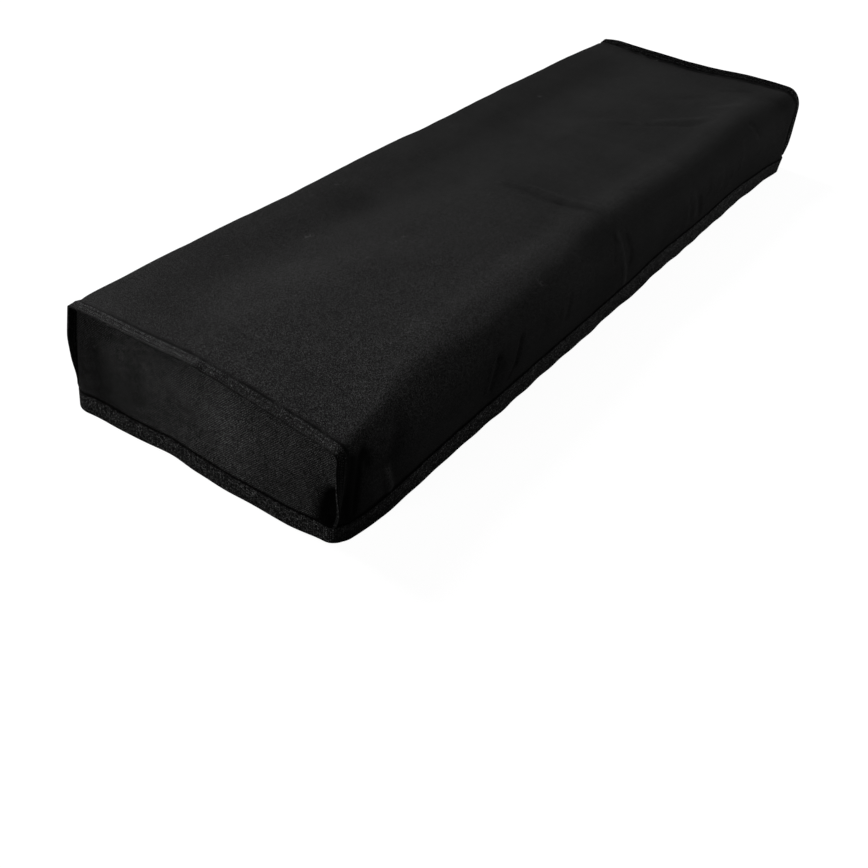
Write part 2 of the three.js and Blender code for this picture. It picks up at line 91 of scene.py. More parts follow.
# The crease along the front of the top: how far behind the front, and how steeply the cloth falls from it
SHOULDER_CREASE = 43
SHOULDER_SLOPE = 0.165

# Depth from the back (0) to the front (1), how far the stitch line is drawn in, and the ridge's angle in
# degrees
LEFT_SEAM = ((0, 6, -14), (0.12, 8.5, -24), (0.45, 8, -20), (0.7, 5, -16), (0.9, 3, -6), (1, 0, 0))
RIGHT_SEAM = ((0, 2, 6), (0.1, 3, 46), (0.3, 4, 66), (0.65, 2, 54), (1, -5, 24))

# Height up a wall from the hem (0) to the top edge (1), the standing ridge's angle away from the end in
# degrees, and its width as a share of the full one
RIGHT_FRONT_STAND = ((0, 20, 0.4), (0.3, 15, 1), (1, 0, 1))
RIGHT_BACK_STAND = ((0, 20, 0.28), (0.2, 16, 0.6), (0.5, 8, 1), (1, 0, 1))
LEFT_FRONT_STAND = (
    (0, 50, 0.25), (0.12, 42, 0.5), (0.28, 33, 0.92), (0.45, 20, 1), (0.7, -4, 1), (0.9, -22, 1), (1, -26, 1)
)
LEFT_BACK_STAND = (
    (0, 20, 0.2), (0.12, 18, 0.25), (0.25, 15, 0.42), (0.42, 10, 0.7), (0.65, 5, 0.95), (0.8, 2, 1), (1, 0, 1)
)

# Place along the side, how far the cloth stands out at the top of the hem, and how much further at the bottom
FRONT_HEM = (
    (-640, -5, 0), (-590, 0, 1.6), (-435, -3, 4), (-200, -5, 5), (10, -7, 5.5), (145, -11, 8),
    (300, -9, 6), (430, -11, 7), (560, -5, 3), (625, 3, 1), (650, 9, -5)
)
BACK_HEM = ((-640, 6, 1), (-420, -4, 5), (-120, -6, 6), (200, -4, 6), (450, -7, 6), (640, 0, 1))
LEFT_HEM = (
    (-190, -5, 0), (-172, -6, 0), (-130, -2, 1), (-60, -1, 1), (0, -2, 2),
    (45, -4, 1), (100, 0, 2), (160, 1.4, 3.4), (190, 6, 1)
)
RIGHT_HEM = ((-190, 9, -5), (-70, -3, 3), (80, -2, 2), (190, 0, 1))

# Uneven waves: the shortest, the longest, and the seed of their random directions
HEM_WAVES = (45, 130, 11)
LEAN_WAVES = (50, 160, 23)
RIDGE_WAVES = (30, 90, 29)
SLACK_WAVES = (90, 300, 3)
SMALL_WAVES = (26, 70, 5)
SEAM_PUCKERS = (9, 22, 7)
HEM_PUCKERS = (14, 40, 9)
SHADE_WAVES = (12, 50, 71)
PANEL_WAVES = (50, 160, 41)
PANEL_SMALL_WAVES = (16, 44, 43)
PANEL_HEM_PUCKERS = (12, 36, 47)
PANEL_SEAM_PUCKERS = (10, 30, 53)

# Folds and painted patches: from, to, width, rise along the cloth's outward direction, and the shade painted
# on the cloth along them, negative where light is painted instead
RISE_COLUMN, SHADE_COLUMN = 3, 4
WRAP_FOLDS = (
    ((-30, -15, 139), (-27, -92, 139), 23, -2.2, 0.2),
    ((-27, -92, 139), (-14, -152, 137), 19, -2.2, 0.34),
    ((-14, -40, 139), (-4, -140, 139), 10, 1.3, -0.16),
    ((-32, 6, 138), (-22, -28, 139), 8, 1.2, -0.1),
    ((-90, -168, 132), (-40, -165, 133), 36, -1.2, 0.22),
    ((0, -163, 131), (-32, -183, 116), 7, -1.5, 0.25),
    ((-32, -183, 116), (-51, -198, 94), 7, -1.5, 0.3),
    ((-19, -183, 118), (-26, -197, 96), 7, 1.8, -0.8),
    ((-26, -197, 96), (-22, -202, 74), 7, 2, -1.4),
    ((-22, -202, 74), (8, -197, 32), 7, 2, -1.5),
    ((0, -190, 108), (0, -201, 72), 13, -2, 0.4),
    ((-358, -188, 123), (-356, -201, 92), 8, -2.2, 0.4),
    ((-356, -201, 92), (-362, -200, 50), 8, -1.5, 0.3),
    ((-366, -200, 96), (-371, -199, 52), 7, 1.5, -0.22),
    ((-304, -201, 98), (-306, -200, 58), 8, -2.2, 0.4),
    ((-306, -200, 58), (-322, -198, 42), 8, -1.5, 0.3),
    ((-346, -200, 86), (-346, -200, 76), 14, -1, 0.25),
    ((-336, -199, 58), (-320, -199, 66), 9, 1, -0.2),
    ((-345, -197, 108), (-340, -200, 46), 40, 2, 0.08),
    ((-198, -200, 90), (-194, -200, 72), 8, 1.6, -0.35),
    ((-180, -200, 98), (-182, -200, 66), 10, -1.5, 0.22),
    ((-250, -200, 100), (-240, -200, 80), 22, -1, 0.12),
    ((212, -199, 100), (245, -197, 50), 9, 2, -0.6),
    ((236, -201, 88), (272, -196, 44), 9, -1.8, 0.25),
    ((181, -199, 98), (221, -196, 47), 18, 1.4, -0.12),
    ((197, -200, 98), (227, -197, 50), 8, -1.2, 0.18),
    ((418, -189, 116), (403, -202, 86), 9, 1.6, -0.25),
    ((326, -197, 104), (324, -201, 70), 9, 1.4, -0.2),
    ((372, -201, 89), (369, -199, 60), 9, 1.2, -0.15),
    ((274, -198, 101), (272, -201, 84), 16, -1, 0.14),
    ((471, -182, 124), (480, -193, 110), 8, 1.8, -0.8),
    ((486, -178, 126), (492, -190, 113), 12, -2, 0.3),
    ((600, -175, 136), (612, -196, 120), 36, -1, 0.25),
    ((289, 8, 137), (320, -46, 139), 11, 1.2, -0.2),
    ((320, -46, 139), (352, -65, 139), 11, 0.8, -0.12),
    ((352, -65, 139), (422, -121, 139), 11, 1.8, -0.26),
    ((299, -29, 138), (375, -111, 139), 14, -2.2, 0.12),
    ((375, -111, 139), (406, -125, 139), 10, -1.8, 0.12),
    ((468, -107, 139), (520, -145, 139), 14, 1.6, -0.2),
    ((561, -90, 139), (600, -128, 139), 10, -1.6, 0.12),
    ((449, -14, 137), (513, -82, 139), 24, -1.6, 0.06),
    ((79, -149, 137), (106, -165, 132), 7, -1.4, 0.2),
    ((-571, -202, 62), (-561, -201, 26), 9, 2.5, -1.3),
    ((-592, -201, 62), (-584, -201, 36), 22, 1, -0.3),
    ((-550, -199, 118), (-562, -202, 76), 28, -2, 0.25),
    ((-634, -200, 114), (-629, -197, 34), 14, 0, 0.8),
    ((-619, -200, 112), (-622, -198, 34), 10, -2.5, 0.6),
    ((-614, -201, 118), (-605, -201, 94), 13, -2, 0.5),
    ((-640, -200, 100), (-580, -202, 40), 110, 0, 0.52),
    ((-520, -202, 90), (-330, -202, 70), 80, 0, 0.22),
    ((-600, 90, 138), (-585, -110, 138), 150, 0, 0.28),
    ((-430, -138, 138), (560, -140, 138), 36, 1.3, -0.21),
    ((400, -98, 139), (560, -102, 139), 60, 0, -0.08),
    ((-540, 160, 136), (-220, 125, 134), 90, 0, 0.2),
    ((-220, 125, 134), (560, 128, 135), 70, -2, 0.16),
    ((-330, 120, 134), (-60, 60, 138), 60, -1.6, 0.03),
    ((-470, 60, 138), (-250, -40, 138), 70, 2, 0),
)
LEFT_PANEL_FOLDS = (
    ((-645, 172, 116), (-645, 124, 112), 18, -3.5, 0.2),
    ((-645, 150, 104), (-645, 112, 82), 24, 3, -0.08),
    ((-645, 104, 92), (-645, 92, 50), 22, -3.5, 0.2),
    ((-645, 168, 92), (-645, 160, 40), 20, -2.5, 0.18),
    ((-645, 36, 72), (-645, -26, 38), 24, -3, 0.15),
    ((-645, 60, 112), (-645, 10, 88), 30, 2.5, 0),
    ((-645, 142, 40), (-645, 152, 27), 14, -2, 0.25),
    ((-645, -187, 60), (-645, -180, 33), 27, -13, 1.6),
    ((-645, -150, 92), (-645, -158, 60), 30, 2.5, 0),
    ((-645, 190, 110), (-645, 150, 30), 80, 0, 0.36),
    ((-645, -110, 30), (-645, -150, 70), 70, 0, 0.32),
    ((-645, -30, 90), (-645, 70, 90), 60, 0, -0.24),
    ((-645, -78, 115), (-645, -95, 60), 58, 0, 0.15),
)
RIGHT_PANEL_FOLDS = (
    ((648, 150, 110), (648, 60, 50), 34, -3, 0.1),
    ((648, 20, 100), (648, -10, 50), 30, 2.5, 0),
    ((648, -180, 90), (648, -120, 40), 30, -3, 0.1),
)

# The two ends: the way out along x, the stitch line's plain place and its share of the wrap's length, and the
# shade painted on the binding at the front corner, on its side turned to the wrap and on its fold, negative
# where light is painted instead
LEFT = SimpleNamespace(
    name="left",
    way=-1,
    x=SEAM_LEFT,
    share=0,
    seam=LEFT_SEAM,
    stands=(LEFT_FRONT_STAND, LEFT_BACK_STAND),
    corner_shades=(0.85, -1.4),
    folds=LEFT_PANEL_FOLDS,
)
RIGHT = SimpleNamespace(
    name="right",
    way=1,
    x=SEAM_RIGHT,
    share=1,
    seam=RIGHT_SEAM,
    stands=(RIGHT_FRONT_STAND, RIGHT_BACK_STAND),
    corner_shades=(-9, 0.5),
    folds=RIGHT_PANEL_FOLDS,
)


# ---------------------------------------------------------------- camera, floor and light


def aim_camera():
    """The camera looks down along the cover from beyond its left front corner."""
    turn, rise, roll = (math.radians(angle) for angle in (-58.17, 38.83, 5.40))
    target = (-0.4229, -0.1637, 0)
    distance = 1.2514
    bpy.ops.object.camera_add()
    camera = bpy.context.object
    camera.name = "camera"
    camera.matrix_world = (
        Matrix.Translation(target)
        @ Matrix.Rotation(turn, 4, "Z")
        @ Matrix.Rotation(math.pi / 2 - rise, 4, "X")
        @ Matrix.Rotation(roll, 4, "Z")
        @ Matrix.Translation((0, 0, distance))
    )
    camera.data.sensor_width = 36
    camera.data.lens = 42.86
    camera.data.clip_start = 0.02
    camera.data.clip_end = 200
    bpy.context.scene.camera = camera


def area_light(name, place, aim, size, watts):
    bpy.ops.object.light_add(type="AREA", location=place)
    light = bpy.context.object
    light.name = name
    light.data.shape = "RECTANGLE"
    light.data.size, light.data.size_y = size
    light.data.energy = watts
    direction = Vector(aim) - Vector(place)
    light.rotation_euler = direction.to_track_quat("-Z", "Y").to_euler()


def light_studio():
    """A soft key from behind, a soft light on the left, a weak one beyond the right front corner, and a faint
    sky."""
    area_light("key_light", (0.2, 4.9, 3.8), (0, 0, 0.1), (3.0, 3.0), 520)
    area_light("side_light", (-6.4, 0.6, 2.4), (0, 0, 0.1), (1.5, 1.5), 135)
    area_light("fill_light", (2.0, -2.2, 0.9), (0.5, -0.2, 0.07), (1.0, 0.8), 23.5)
    world = bpy.data.worlds.new("studio")
    bpy.context.scene.world = world
    world.use_nodes = True
    sky = world.node_tree.nodes["Background"]
    sky.inputs["Color"].default_value = (1, 1, 1, 1)
    sky.inputs["Strength"].default_value = 0.06
    bpy.context.scene.view_settings.view_transform = "Standard"


def lay_floor():
    """A floor that looks white and hardly marked by the light, and gives little light of its own to the
    cloth."""
    bpy.ops.mesh.primitive_plane_add(size=60, location=(0, 0, -0.0004))
    floor = bpy.context.object
    floor.name = "studio_floor"
    material, surface = start_material("pale floor", 0)
    surface.inputs["Base Color"].default_value = (0.1, 0.1, 0.1, 1)
    surface.inputs["Roughness"].default_value = 0.9
    surface.inputs["Emission Strength"].default_value = 1.0
    seen = new_value(material.node_tree, "ShaderNodeLightPath", "Is Camera Ray")
    feed(seen * 0.9 + 0.06, surface.inputs["Emission Color"])
    floor.data.materials.append(material)


# ---------------------------------------------------------------- shape of the cover


def smooth_curve(keys, values, at):
    """A smooth curve through values at keys. values has one row for each key, alike or different for each
    place."""
    keys = np.asarray(keys, float)
    at = np.atleast_1d(np.asarray(at, float))
    values = np.asarray(values, float)
    if values.ndim == 1:
        values = np.repeat(values[:, None], at.size, axis=1)
    last = len(keys) - 1
    low = np.clip(np.searchsorted(keys, at, side="left") - 1, 0, last - 1)
    each = np.arange(at.size)

    def slope(index):
        before, after = np.maximum(index - 1, 0), np.minimum(index + 1, last)
        return (values[after, each] - values[before, each]) / (keys[after] - keys[before])

    span = keys[low + 1] - keys[low]
    t = np.clip((at - keys[low]) / span, 0, 1)
    rest = 1 - t
    return (
        values[low, each] * rest * rest * (1 + 2 * t)
        + values[low + 1, each] * t * t * (3 - 2 * t)
        + slope(low) * span * t * rest * rest
        - slope(low + 1) * span * t * t * rest
    )


def read_table(rows, column, at):
    return smooth_curve([row[0] for row in rows], [row[column] for row in rows], np.ravel(at))


def smooth_step(value, low, high):
    t = np.clip((value - low) / (high - low), 0, 1)
    return t * t * (3 - 2 * t)


def blend(low, high, t):
    return low + (high - low) * t


def unit(vectors):
    return vectors / np.maximum(np.linalg.norm(vectors, axis=-1, keepdims=True), 1e-12)


def column_of(values):
    return np.asarray(values, float)[:, None]


def shoulder_drop(x, y):
    """How much lower the cloth lies from the crease along the front of the top, away from the ends."""
    from_crease = SHOULDER_CREASE - (y + HALF_TOP)
    fall = SHOULDER_SLOPE * (np.hypot(from_crease, 5) + from_crease) / 2
    return fall * smooth_step(x, -540, -400) * (1 - smooth_step(x, 540, 640))


def top_height(x, y):
    depth = np.clip((HALF_TOP - y) / TOP_WIDTH, 0, 1)
    rises = np.array([read_table(SECTIONS, column, x) for column in range(1, 6)])
    return TOP_HEIGHT + smooth_curve(SECTION_DEPTHS, rises, depth)


def fold_sum(folds, points, column):
    """The sum at points of one column of a list of folds, its rise or its painted shade."""
    total = np.zeros(len(points))
    for fold in folds:
        start, end = np.array(fold[0], float), np.array(fold[1], float)
        along = end - start
        t = np.clip((points - start) @ along / (along @ along), 0, 1)
        distance = np.linalg.norm(points - start - column_of(t) * along, axis=1) / fold[2]
        total += fold[column] * np.exp(-4 * distance**2)
    return total


def soft_waves(points, shortest, longest, seed, count=20):
    """A smooth random field through space, mostly between -1 and 1."""
    rng = np.random.default_rng(seed)
    total = np.zeros(len(points))
    for _ in range(count):
        direction = unit(rng.normal(size=3))
        wavelength = shortest * (longest / shortest) ** rng.random()
        phase = rng.uniform(0, 2 * np.pi)
        total += np.sin(points @ direction * (2 * np.pi / wavelength) + phase)
    return total / np.sqrt(2 * count)


def mouth_side(start, end, out, rows):
    """One side of the mouth, from one corner of its plain outline to the next."""
    start, end = np.array([*start, 0.0]), np.array([*end, 0.0])
    length = np.linalg.norm(end - start)
    along = (end - start) / length
    out = np.array(out, float)
    return SimpleNamespace(start=start, along=along, length=length, out=out, rows=rows, first=start @ along)


END_X, SIDE_Y = MOUTH_LENGTH / 2, MOUTH_WIDTH / 2
MOUTH = {
    "front": mouth_side((-END_X, -SIDE_Y), (END_X, -SIDE_Y), (0, -1, 0), FRONT_HEM),
    "back": mouth_side((-END_X, SIDE_Y), (END_X, SIDE_Y), (0, 1, 0), BACK_HEM),
    "left": mouth_side((-END_X, -SIDE_Y), (-END_X, SIDE_Y), (-1, 0, 0), LEFT_HEM),
    "right": mouth_side((END_X, -SIDE_Y), (END_X, SIDE_Y), (1, 0, 0), RIGHT_HEM),
}


def hem_point(side, share, height, proud=0.0):
    """Points of the hem, proud of the cloth's outer face. share runs between the middles of two rounded
    corners."""
    share, height, proud = (np.ravel(a) for a in np.broadcast_arrays(share, height, proud))
    distance = share * side.length
    from_start = np.maximum(1 - distance / MOUTH_ROUND, 0) * MITRE
    from_end = np.maximum(1 - (side.length - distance) / MOUTH_ROUND, 0) * MITRE
    run = np.clip(distance, MOUTH_ROUND, side.length - MOUTH_ROUND)
    facing = column_of(np.cos(from_start + from_end)) * side.out
    facing = facing + column_of(np.sin(from_end) - np.sin(from_start)) * side.along
    at = side.first + distance
    low = 1 - height / CLOTH_TOP_OF_HEM
    out = read_table(side.rows, 1, at) + read_table(side.rows, 2, at) * low
    centre = side.start + column_of(run) * side.along - MOUTH_ROUND * side.out
    plain = centre + MOUTH_ROUND * facing
    out = out + soft_waves(plain, *HEM_WAVES) * blend(0.25, 1.0, low)
    point = plain + column_of(out + proud) * facing
    point[:, 2] = height
    return point


def wall_point(side, share, edge, climb):
    """Points of a wall between the top of the hem (climb 0) and the top edge's rounding (climb 1)."""
    foot = hem_point(side, share, CLOTH_TOP_OF_HEM)
    point = blend(foot, edge, column_of(1 - (1 - climb) ** DRAW_IN))
    point[:, 2] = blend(foot[:, 2], edge[:, 2], climb)
    return point


def hemmed_wrap(share, around):
    front = around <= 1
    height = blend(CLOTH_FOOT, CLOTH_TOP_OF_HEM, np.where(front, around, 7 - around))
    before = hem_point(MOUTH["front"], share, height)
    behind = hem_point(MOUTH["back"], share, height)
    return np.where(column_of(front), before, behind)


def plain_wrap(share, around):
    """The wrap's outer face before its folds. share runs from the left seam to the right one, and around from
    the front's cut edge over the top to the back's: hem, front, rounding, top, rounding, back and hem."""
    part = np.minimum(np.floor(around), 6)
    t = around - part
    front = part < 3
    facing = np.where(front, -1.0, 1.0)
    climb = np.where(part == 1, t, np.where(part == 5, 1 - t, 1.0))
    plain_x = blend(SEAM_LEFT, SEAM_RIGHT, share)
    front_round = read_table(SECTIONS, 6, plain_x)
    rounding = np.where(front, front_round, BACK_ROUND)
    turning = (part == 2) | (part == 4)
    angle = np.where(turning, np.where(front, t, 1 - t) * np.pi / 2, 0)
    y = facing * (HALF_TOP - rounding * (1 - np.cos(angle)))
    drop = rounding * (1 - np.sin(angle))
    top = part == 3
    y = np.where(top, blend(-HALF_TOP + front_round, HALF_TOP - BACK_ROUND, t), y)
    drop = np.where(top, 0, drop)
    depth = (HALF_TOP - y) / TOP_WIDTH
    left_inset, right_inset = (read_table(end.seam, 1, depth) * climb**3 for end in (LEFT, RIGHT))
    x = plain_x + left_inset * (1 - share) - right_inset * share
    height = top_height(x, y) - drop - shoulder_drop(x, y)
    point = np.stack([x, y, height], axis=1)
    for name, wall in (("front", part == 1), ("back", part == 5)):
        if wall.any():
            point[wall] = wall_point(MOUTH[name], share[wall], point[wall], climb[wall])
    hem = (part == 0) | (part == 6)
    if hem.any():
        point[hem] = hemmed_wrap(share[hem], around[hem])
    return point


def wrap_facing(share, around, step=1e-4):
    more, less = np.minimum(share + step, 1), np.maximum(share - step, 0)
    on, back = np.minimum(around + step, 7), np.maximum(around - step, 0)
    across = plain_wrap(more, around) - plain_wrap(less, around)
    return unit(np.cross(across, plain_wrap(share, on) - plain_wrap(share, back)))


def wrap(share, around):
    """The wrap's outer face with its main folds, which die out in the hem."""
    share, around = (np.ravel(a).astype(float) for a in np.broadcast_arrays(share, around))
    point = plain_wrap(share, around)
    clear = smooth_step(point[:, 2], HEM_HEIGHT + 1, HEM_HEIGHT + 12)
    rise = fold_sum(WRAP_FOLDS, point, RISE_COLUMN) * clear
    return point + column_of(rise) * wrap_facing(share, around)


def end_seam(end, around):
    """An end seam at places around the section: its root, the way out and towards the wrap, and its width."""
    outer = wrap(end.share, around)
    part = np.floor(around)
    climb = np.where(part == 1, around - 1, np.where(part == 5, 6 - around, 1.0))
    rounding = np.select([part == 2, part == 4, part == 3], [around - 2, 5 - around, 1.0], 0.0)
    front = around < 3.5
    angle = rounding * np.pi / 2
    away = np.stack([0 * angle, np.where(front, -1.0, 1.0) * np.cos(angle), np.sin(angle)], axis=1)
    depth = (HALF_TOP - outer[:, 1]) / TOP_WIDTH
    lean, narrowing = (
        np.where(front, *(read_table(rows, column, climb) for rows in end.stands)) for column in (1, 2)
    )
    lean = np.radians(lean) + np.radians(read_table(end.seam, 2, depth)) * np.sin(angle) ** 2
    lean = lean + 0.07 * soft_waves(outer, *LEAN_WAVES)
    along_x = np.array([end.way, 0.0, 0.0])
    out = column_of(np.cos(lean)) * along_x + column_of(np.sin(lean)) * away
    towards = column_of(np.cos(lean)) * away - column_of(np.sin(lean)) * along_x
    width = SEAM_WIDTH * narrowing + 0.3 * soft_waves(outer, *RIDGE_WAVES) * smooth_step(climb, 0, 0.2)
    foot = np.clip(climb * (TOP_HEIGHT - HEM_HEIGHT) / SEAM_START, 0, 1)
    width = np.maximum(width - 1.5 * (1 - foot), 2.2)
    return SimpleNamespace(root=outer - STACK * towards, out=out, towards=towards, width=width)


def seam_point(seam, out, towards):
    out, towards = (np.broadcast_to(np.asarray(a, float), seam.width.shape) for a in (out, towards))
    return seam.root + column_of(out) * seam.out + column_of(towards) * seam.towards


def spaced(*runs):
    """Places in order, from runs of (from, to, count) that each start where the last one ends."""
    places = [runs[0][0]]
    for start, end, count in runs:
        places += list(np.linspace(start, end, count + 1)[1:])
    return np.array(places)


# Places around an end seam, and along the wrap as shares of its length, closest where the cloth has folds
SEAM_AROUND = spaced(
    (1.008, 1.036, 3), (1.036, 1.16, 6), (1.16, 2, 20), (2, 3, 14), (3, 4, 62),
    (4, 5, 6), (5, 5.84, 18), (5.84, 5.964, 4), (5.964, 5.992, 2)
)
CORNER = MOUTH_ROUND / MOUTH_LENGTH
ALONG = spaced(
    (0, CORNER, 12), (CORNER, 0.11, 40), (0.11, 0.3, 58), (0.3, 0.53, 78), (0.53, 0.66, 34),
    (0.66, 0.72, 20), (0.72, 1 - CORNER, 50), (1 - CORNER, 1, 12)
)


# ---------------------------------------------------------------- sheets as meshes


def grid_facing(grid):
    """The direction in which a grid of points faces at each of them."""
    return unit(np.cross(np.gradient(grid, axis=1), np.gradient(grid, axis=0)))


def soften(grid, column, reach=2):
    """Eases a crease along one column, over the columns up to reach away from it."""
    eased = grid.copy()
    for _ in range(reach):
        for at in range(column - reach + 1, column + reach):
            eased[:, at] = (grid[:, at - 1] + 2 * grid[:, at] + grid[:, at + 1]) / 4
        grid = eased.copy()
    return eased


def link_piece(name, points, faces, material):
    mesh = bpy.data.meshes.new(name)
    mesh.from_pydata(points, [], faces)
    mesh.materials.append(material)
    piece = bpy.data.objects.new(name, mesh)
    bpy.context.scene.collection.objects.link(piece)
    return piece


def closed_sheet(name, outer, inner, pattern, painted_shade, material):
    """One closed mesh from two grids of points in millimetres. pattern gives each point's place on the flat
    cloth, in metres, as the piece's UV map, and hollow the shade painted on it in creases, along seams and
    at corners, negative where light is painted instead, as its own attribute."""
    rows, columns = outer.shape[:2]
    count = rows * columns
    near = np.arange(count).reshape(rows, columns)
    far = near + count
    quads = (
        (near[:-1, :-1], near[:-1, 1:], near[1:, 1:], near[1:, :-1]),
        (far[:-1, :-1], far[1:, :-1], far[1:, 1:], far[:-1, 1:]),
        (near[0, 1:], near[0, :-1], far[0, :-1], far[0, 1:]),
        (near[-1, :-1], near[-1, 1:], far[-1, 1:], far[-1, :-1]),
        (near[:-1, 0], near[1:, 0], far[1:, 0], far[:-1, 0]),
        (near[1:, -1], near[:-1, -1], far[:-1, -1], far[1:, -1]),
    )
    faces = np.concatenate([np.stack([np.ravel(side) for side in sides], axis=1) for sides in quads])
    points = np.concatenate([outer.reshape(-1, 3), inner.reshape(-1, 3)]) * MM
    corners = points[faces]
    first, across, last = (corners[:, index] - corners[:, 0] for index in (1, 2, 3))
    spread = np.cross(first, across) + np.cross(across, last)
    if (spread * corners.mean(axis=1)).sum() < 0:
        faces = faces[:, ::-1]
    piece = link_piece(name, points.tolist(), faces.tolist(), material)
    layer = piece.data.uv_layers.new(name="cloth")
    places = np.concatenate([pattern.reshape(-1, 2)] * 2)
    layer.uv.foreach_set("vector", places[faces.ravel()].astype(np.float32).ravel())
    # Painted shade and painted light, kept as a point attribute that the materials darken or lighten by
    shade = piece.data.attributes.new("painted_shade", "FLOAT", "POINT")
    painted_shades = np.concatenate([painted_shade.ravel(), np.zeros(count)])
    shade.data.foreach_set("value", painted_shades.astype(np.float32))
    bpy.ops.object.select_all(action="DESELECT")
    piece.select_set(True)
    bpy.context.view_layer.objects.active = piece
    bpy.ops.object.shade_smooth_by_angle(angle=math.radians(50))
    return piece


def running_length(points):
    steps = np.linalg.norm(np.diff(points, axis=0), axis=1)
    return np.concatenate([[0], np.cumsum(steps)])


def flat_places(along, across):
    """Places on the flat cloth, in metres, from lengths along its columns and rows."""
    return np.stack(np.meshgrid(along, across), axis=2) * MM


# Rows of a cloth in an end seam, as shares of the flange from its root (0) to its cut edge (1), and, where
# the layers are pressed together, its distance from the seam's middle, its thickness and the shade painted on
# it
FLANGE = np.array([1, 0.75, 0.5, 0.3, 0.16, 0.07])
FLANGE_FACE = 0.68
FLANGE_CLOTH = 0.56
FLANGE_SHADE = 0.5


def flange_narrowing(share_out):
    """1 at the root of an end seam, and 0 where its layers lie pressed together."""
    return 1 - smooth_step(share_out, 0, 0.28)


def ridge_row(seam, out, share_out, way):
    """A row of a cloth's outer face along an end seam's flange."""
    face = blend(FLANGE_FACE, STACK, flange_narrowing(share_out))
    return seam_point(seam, out, way * face)


def above_hem_of(points):
    return np.maximum(points[:, 2] - CLOTH_TOP_OF_HEM, 0)


def fine_wrinkles(points, from_seam):
    """Small uneven rises of the wrap: slack between the seams, puckers where the thread pulls it in, and the
    groove along each end seam."""
    above_hem = above_hem_of(points)
    slack = soft_waves(points, *SLACK_WAVES) + 0.22 * soft_waves(points, *SMALL_WAVES)
    seam_puckers = soft_waves(points * (0.15, 1, 1), *SEAM_PUCKERS) * np.exp(-from_seam / 11)
    hem_puckers = soft_waves(points * (1, 1, 0.2), *HEM_PUCKERS) * np.exp(-above_hem / 12)
    rise = slack * smooth_step(from_seam, 4, 50) + 0.5 * seam_puckers
    rise = rise * smooth_step(above_hem, 0, 20)
    rise += 0.45 * hem_puckers * smooth_step(above_hem, 0, 3)
    rise *= smooth_step(from_seam, 0, 5)
    groove = from_seam / 3.5 * np.exp(1 - from_seam / 3.5)
    return rise - 1.3 * groove * smooth_step(above_hem, 2, 14)


def wrap_painted_shade(points, from_seam):
    """Painted shade on the wrap: along its seams, just above the hem tape, and in its folds, with light
    painted along some folds instead.
    """
    above_hem = above_hem_of(points)
    uneven = 1 + 0.6 * soft_waves(points, *SHADE_WAVES)
    along_seam = 0.62 * np.exp(-((from_seam / 2.8) ** 2)) + 0.24 * np.exp(-from_seam / 7)
    along_seam *= blend(1, 0.3, smooth_step(points[:, 1], 110, 165))
    along_hem = 0.95 * np.exp(-((above_hem / 2.8) ** 2)) + 0.1 * np.exp(-above_hem / 10)
    return along_seam * uneven + along_hem + fold_sum(WRAP_FOLDS, points, SHADE_COLUMN)


def make_wrap(material):
    """The cloth of the front, top and back, with its two cut edges lying in the bound end seams."""
    around = np.concatenate([[0, 0.5, 1], SEAM_AROUND, [6, 6.5, 7]])
    rows, columns, flange = len(around), len(ALONG), len(FLANGE)
    length = SEAM_RIGHT - SEAM_LEFT
    from_seam = np.tile(np.minimum(ALONG, 1 - ALONG) * length, rows)
    body = wrap(*np.meshgrid(ALONG, around)).reshape(rows, columns, 3)
    rise = fine_wrinkles(body.reshape(-1, 3), from_seam).reshape(rows, columns, 1)
    body = body + rise * grid_facing(body)
    shade = wrap_painted_shade(body.reshape(-1, 3), from_seam).reshape(rows, columns)
    hem = (around <= 1) | (around >= 6)
    edges = []
    for end in (LEFT, RIGHT):
        edge = np.zeros((rows, flange, 3))
        seam = end_seam(end, around[~hem])
        for index, share_out in enumerate(FLANGE):
            past = WRAP_PAST * share_out / MOUTH_LENGTH
            edge[hem, index] = hemmed_wrap(end.share + end.way * past, around[hem])
            out = (seam.width - TAPE - 2 * GAP) * share_out
            edge[~hem, index] = ridge_row(seam, out, share_out, 1)
        edges.append(edge)
    outer = np.concatenate([edges[0], body, edges[1][:, ::-1]], axis=1)
    for column in (flange, outer.shape[1] - 1 - flange):
        outer = soften(outer, column)
    beside = np.full((rows, flange), FLANGE_SHADE)
    shade = np.concatenate([beside, shade, beside], axis=1)
    thin = blend(FLANGE_CLOTH, CLOTH, flange_narrowing(FLANGE))
    thickness = np.concatenate([thin, np.full(columns, CLOTH), thin[::-1]])
    inner = outer - thickness[:, None] * grid_facing(outer)
    along = np.concatenate([-FLANGE * SEAM_WIDTH, ALONG * length, length + FLANGE[::-1] * SEAM_WIDTH])
    pattern = flat_places(along, running_length(outer[:, outer.shape[1] // 2]))
    return closed_sheet("wrap_cloth", outer, inner, pattern, shade, material)


def hem_shares(end):
    """For each place round an end seam, the share of the end's hem below it."""
    lengths = running_length(end_seam(end, SEAM_AROUND).root)
    edge = PANEL_SHORT / MOUTH_WIDTH
    return blend(edge, 1 - edge, lengths / lengths[-1])


PANEL_FALLS = spaced((0, 0.04, 2), (0.04, 0.96, 34), (0.96, 1, 2))


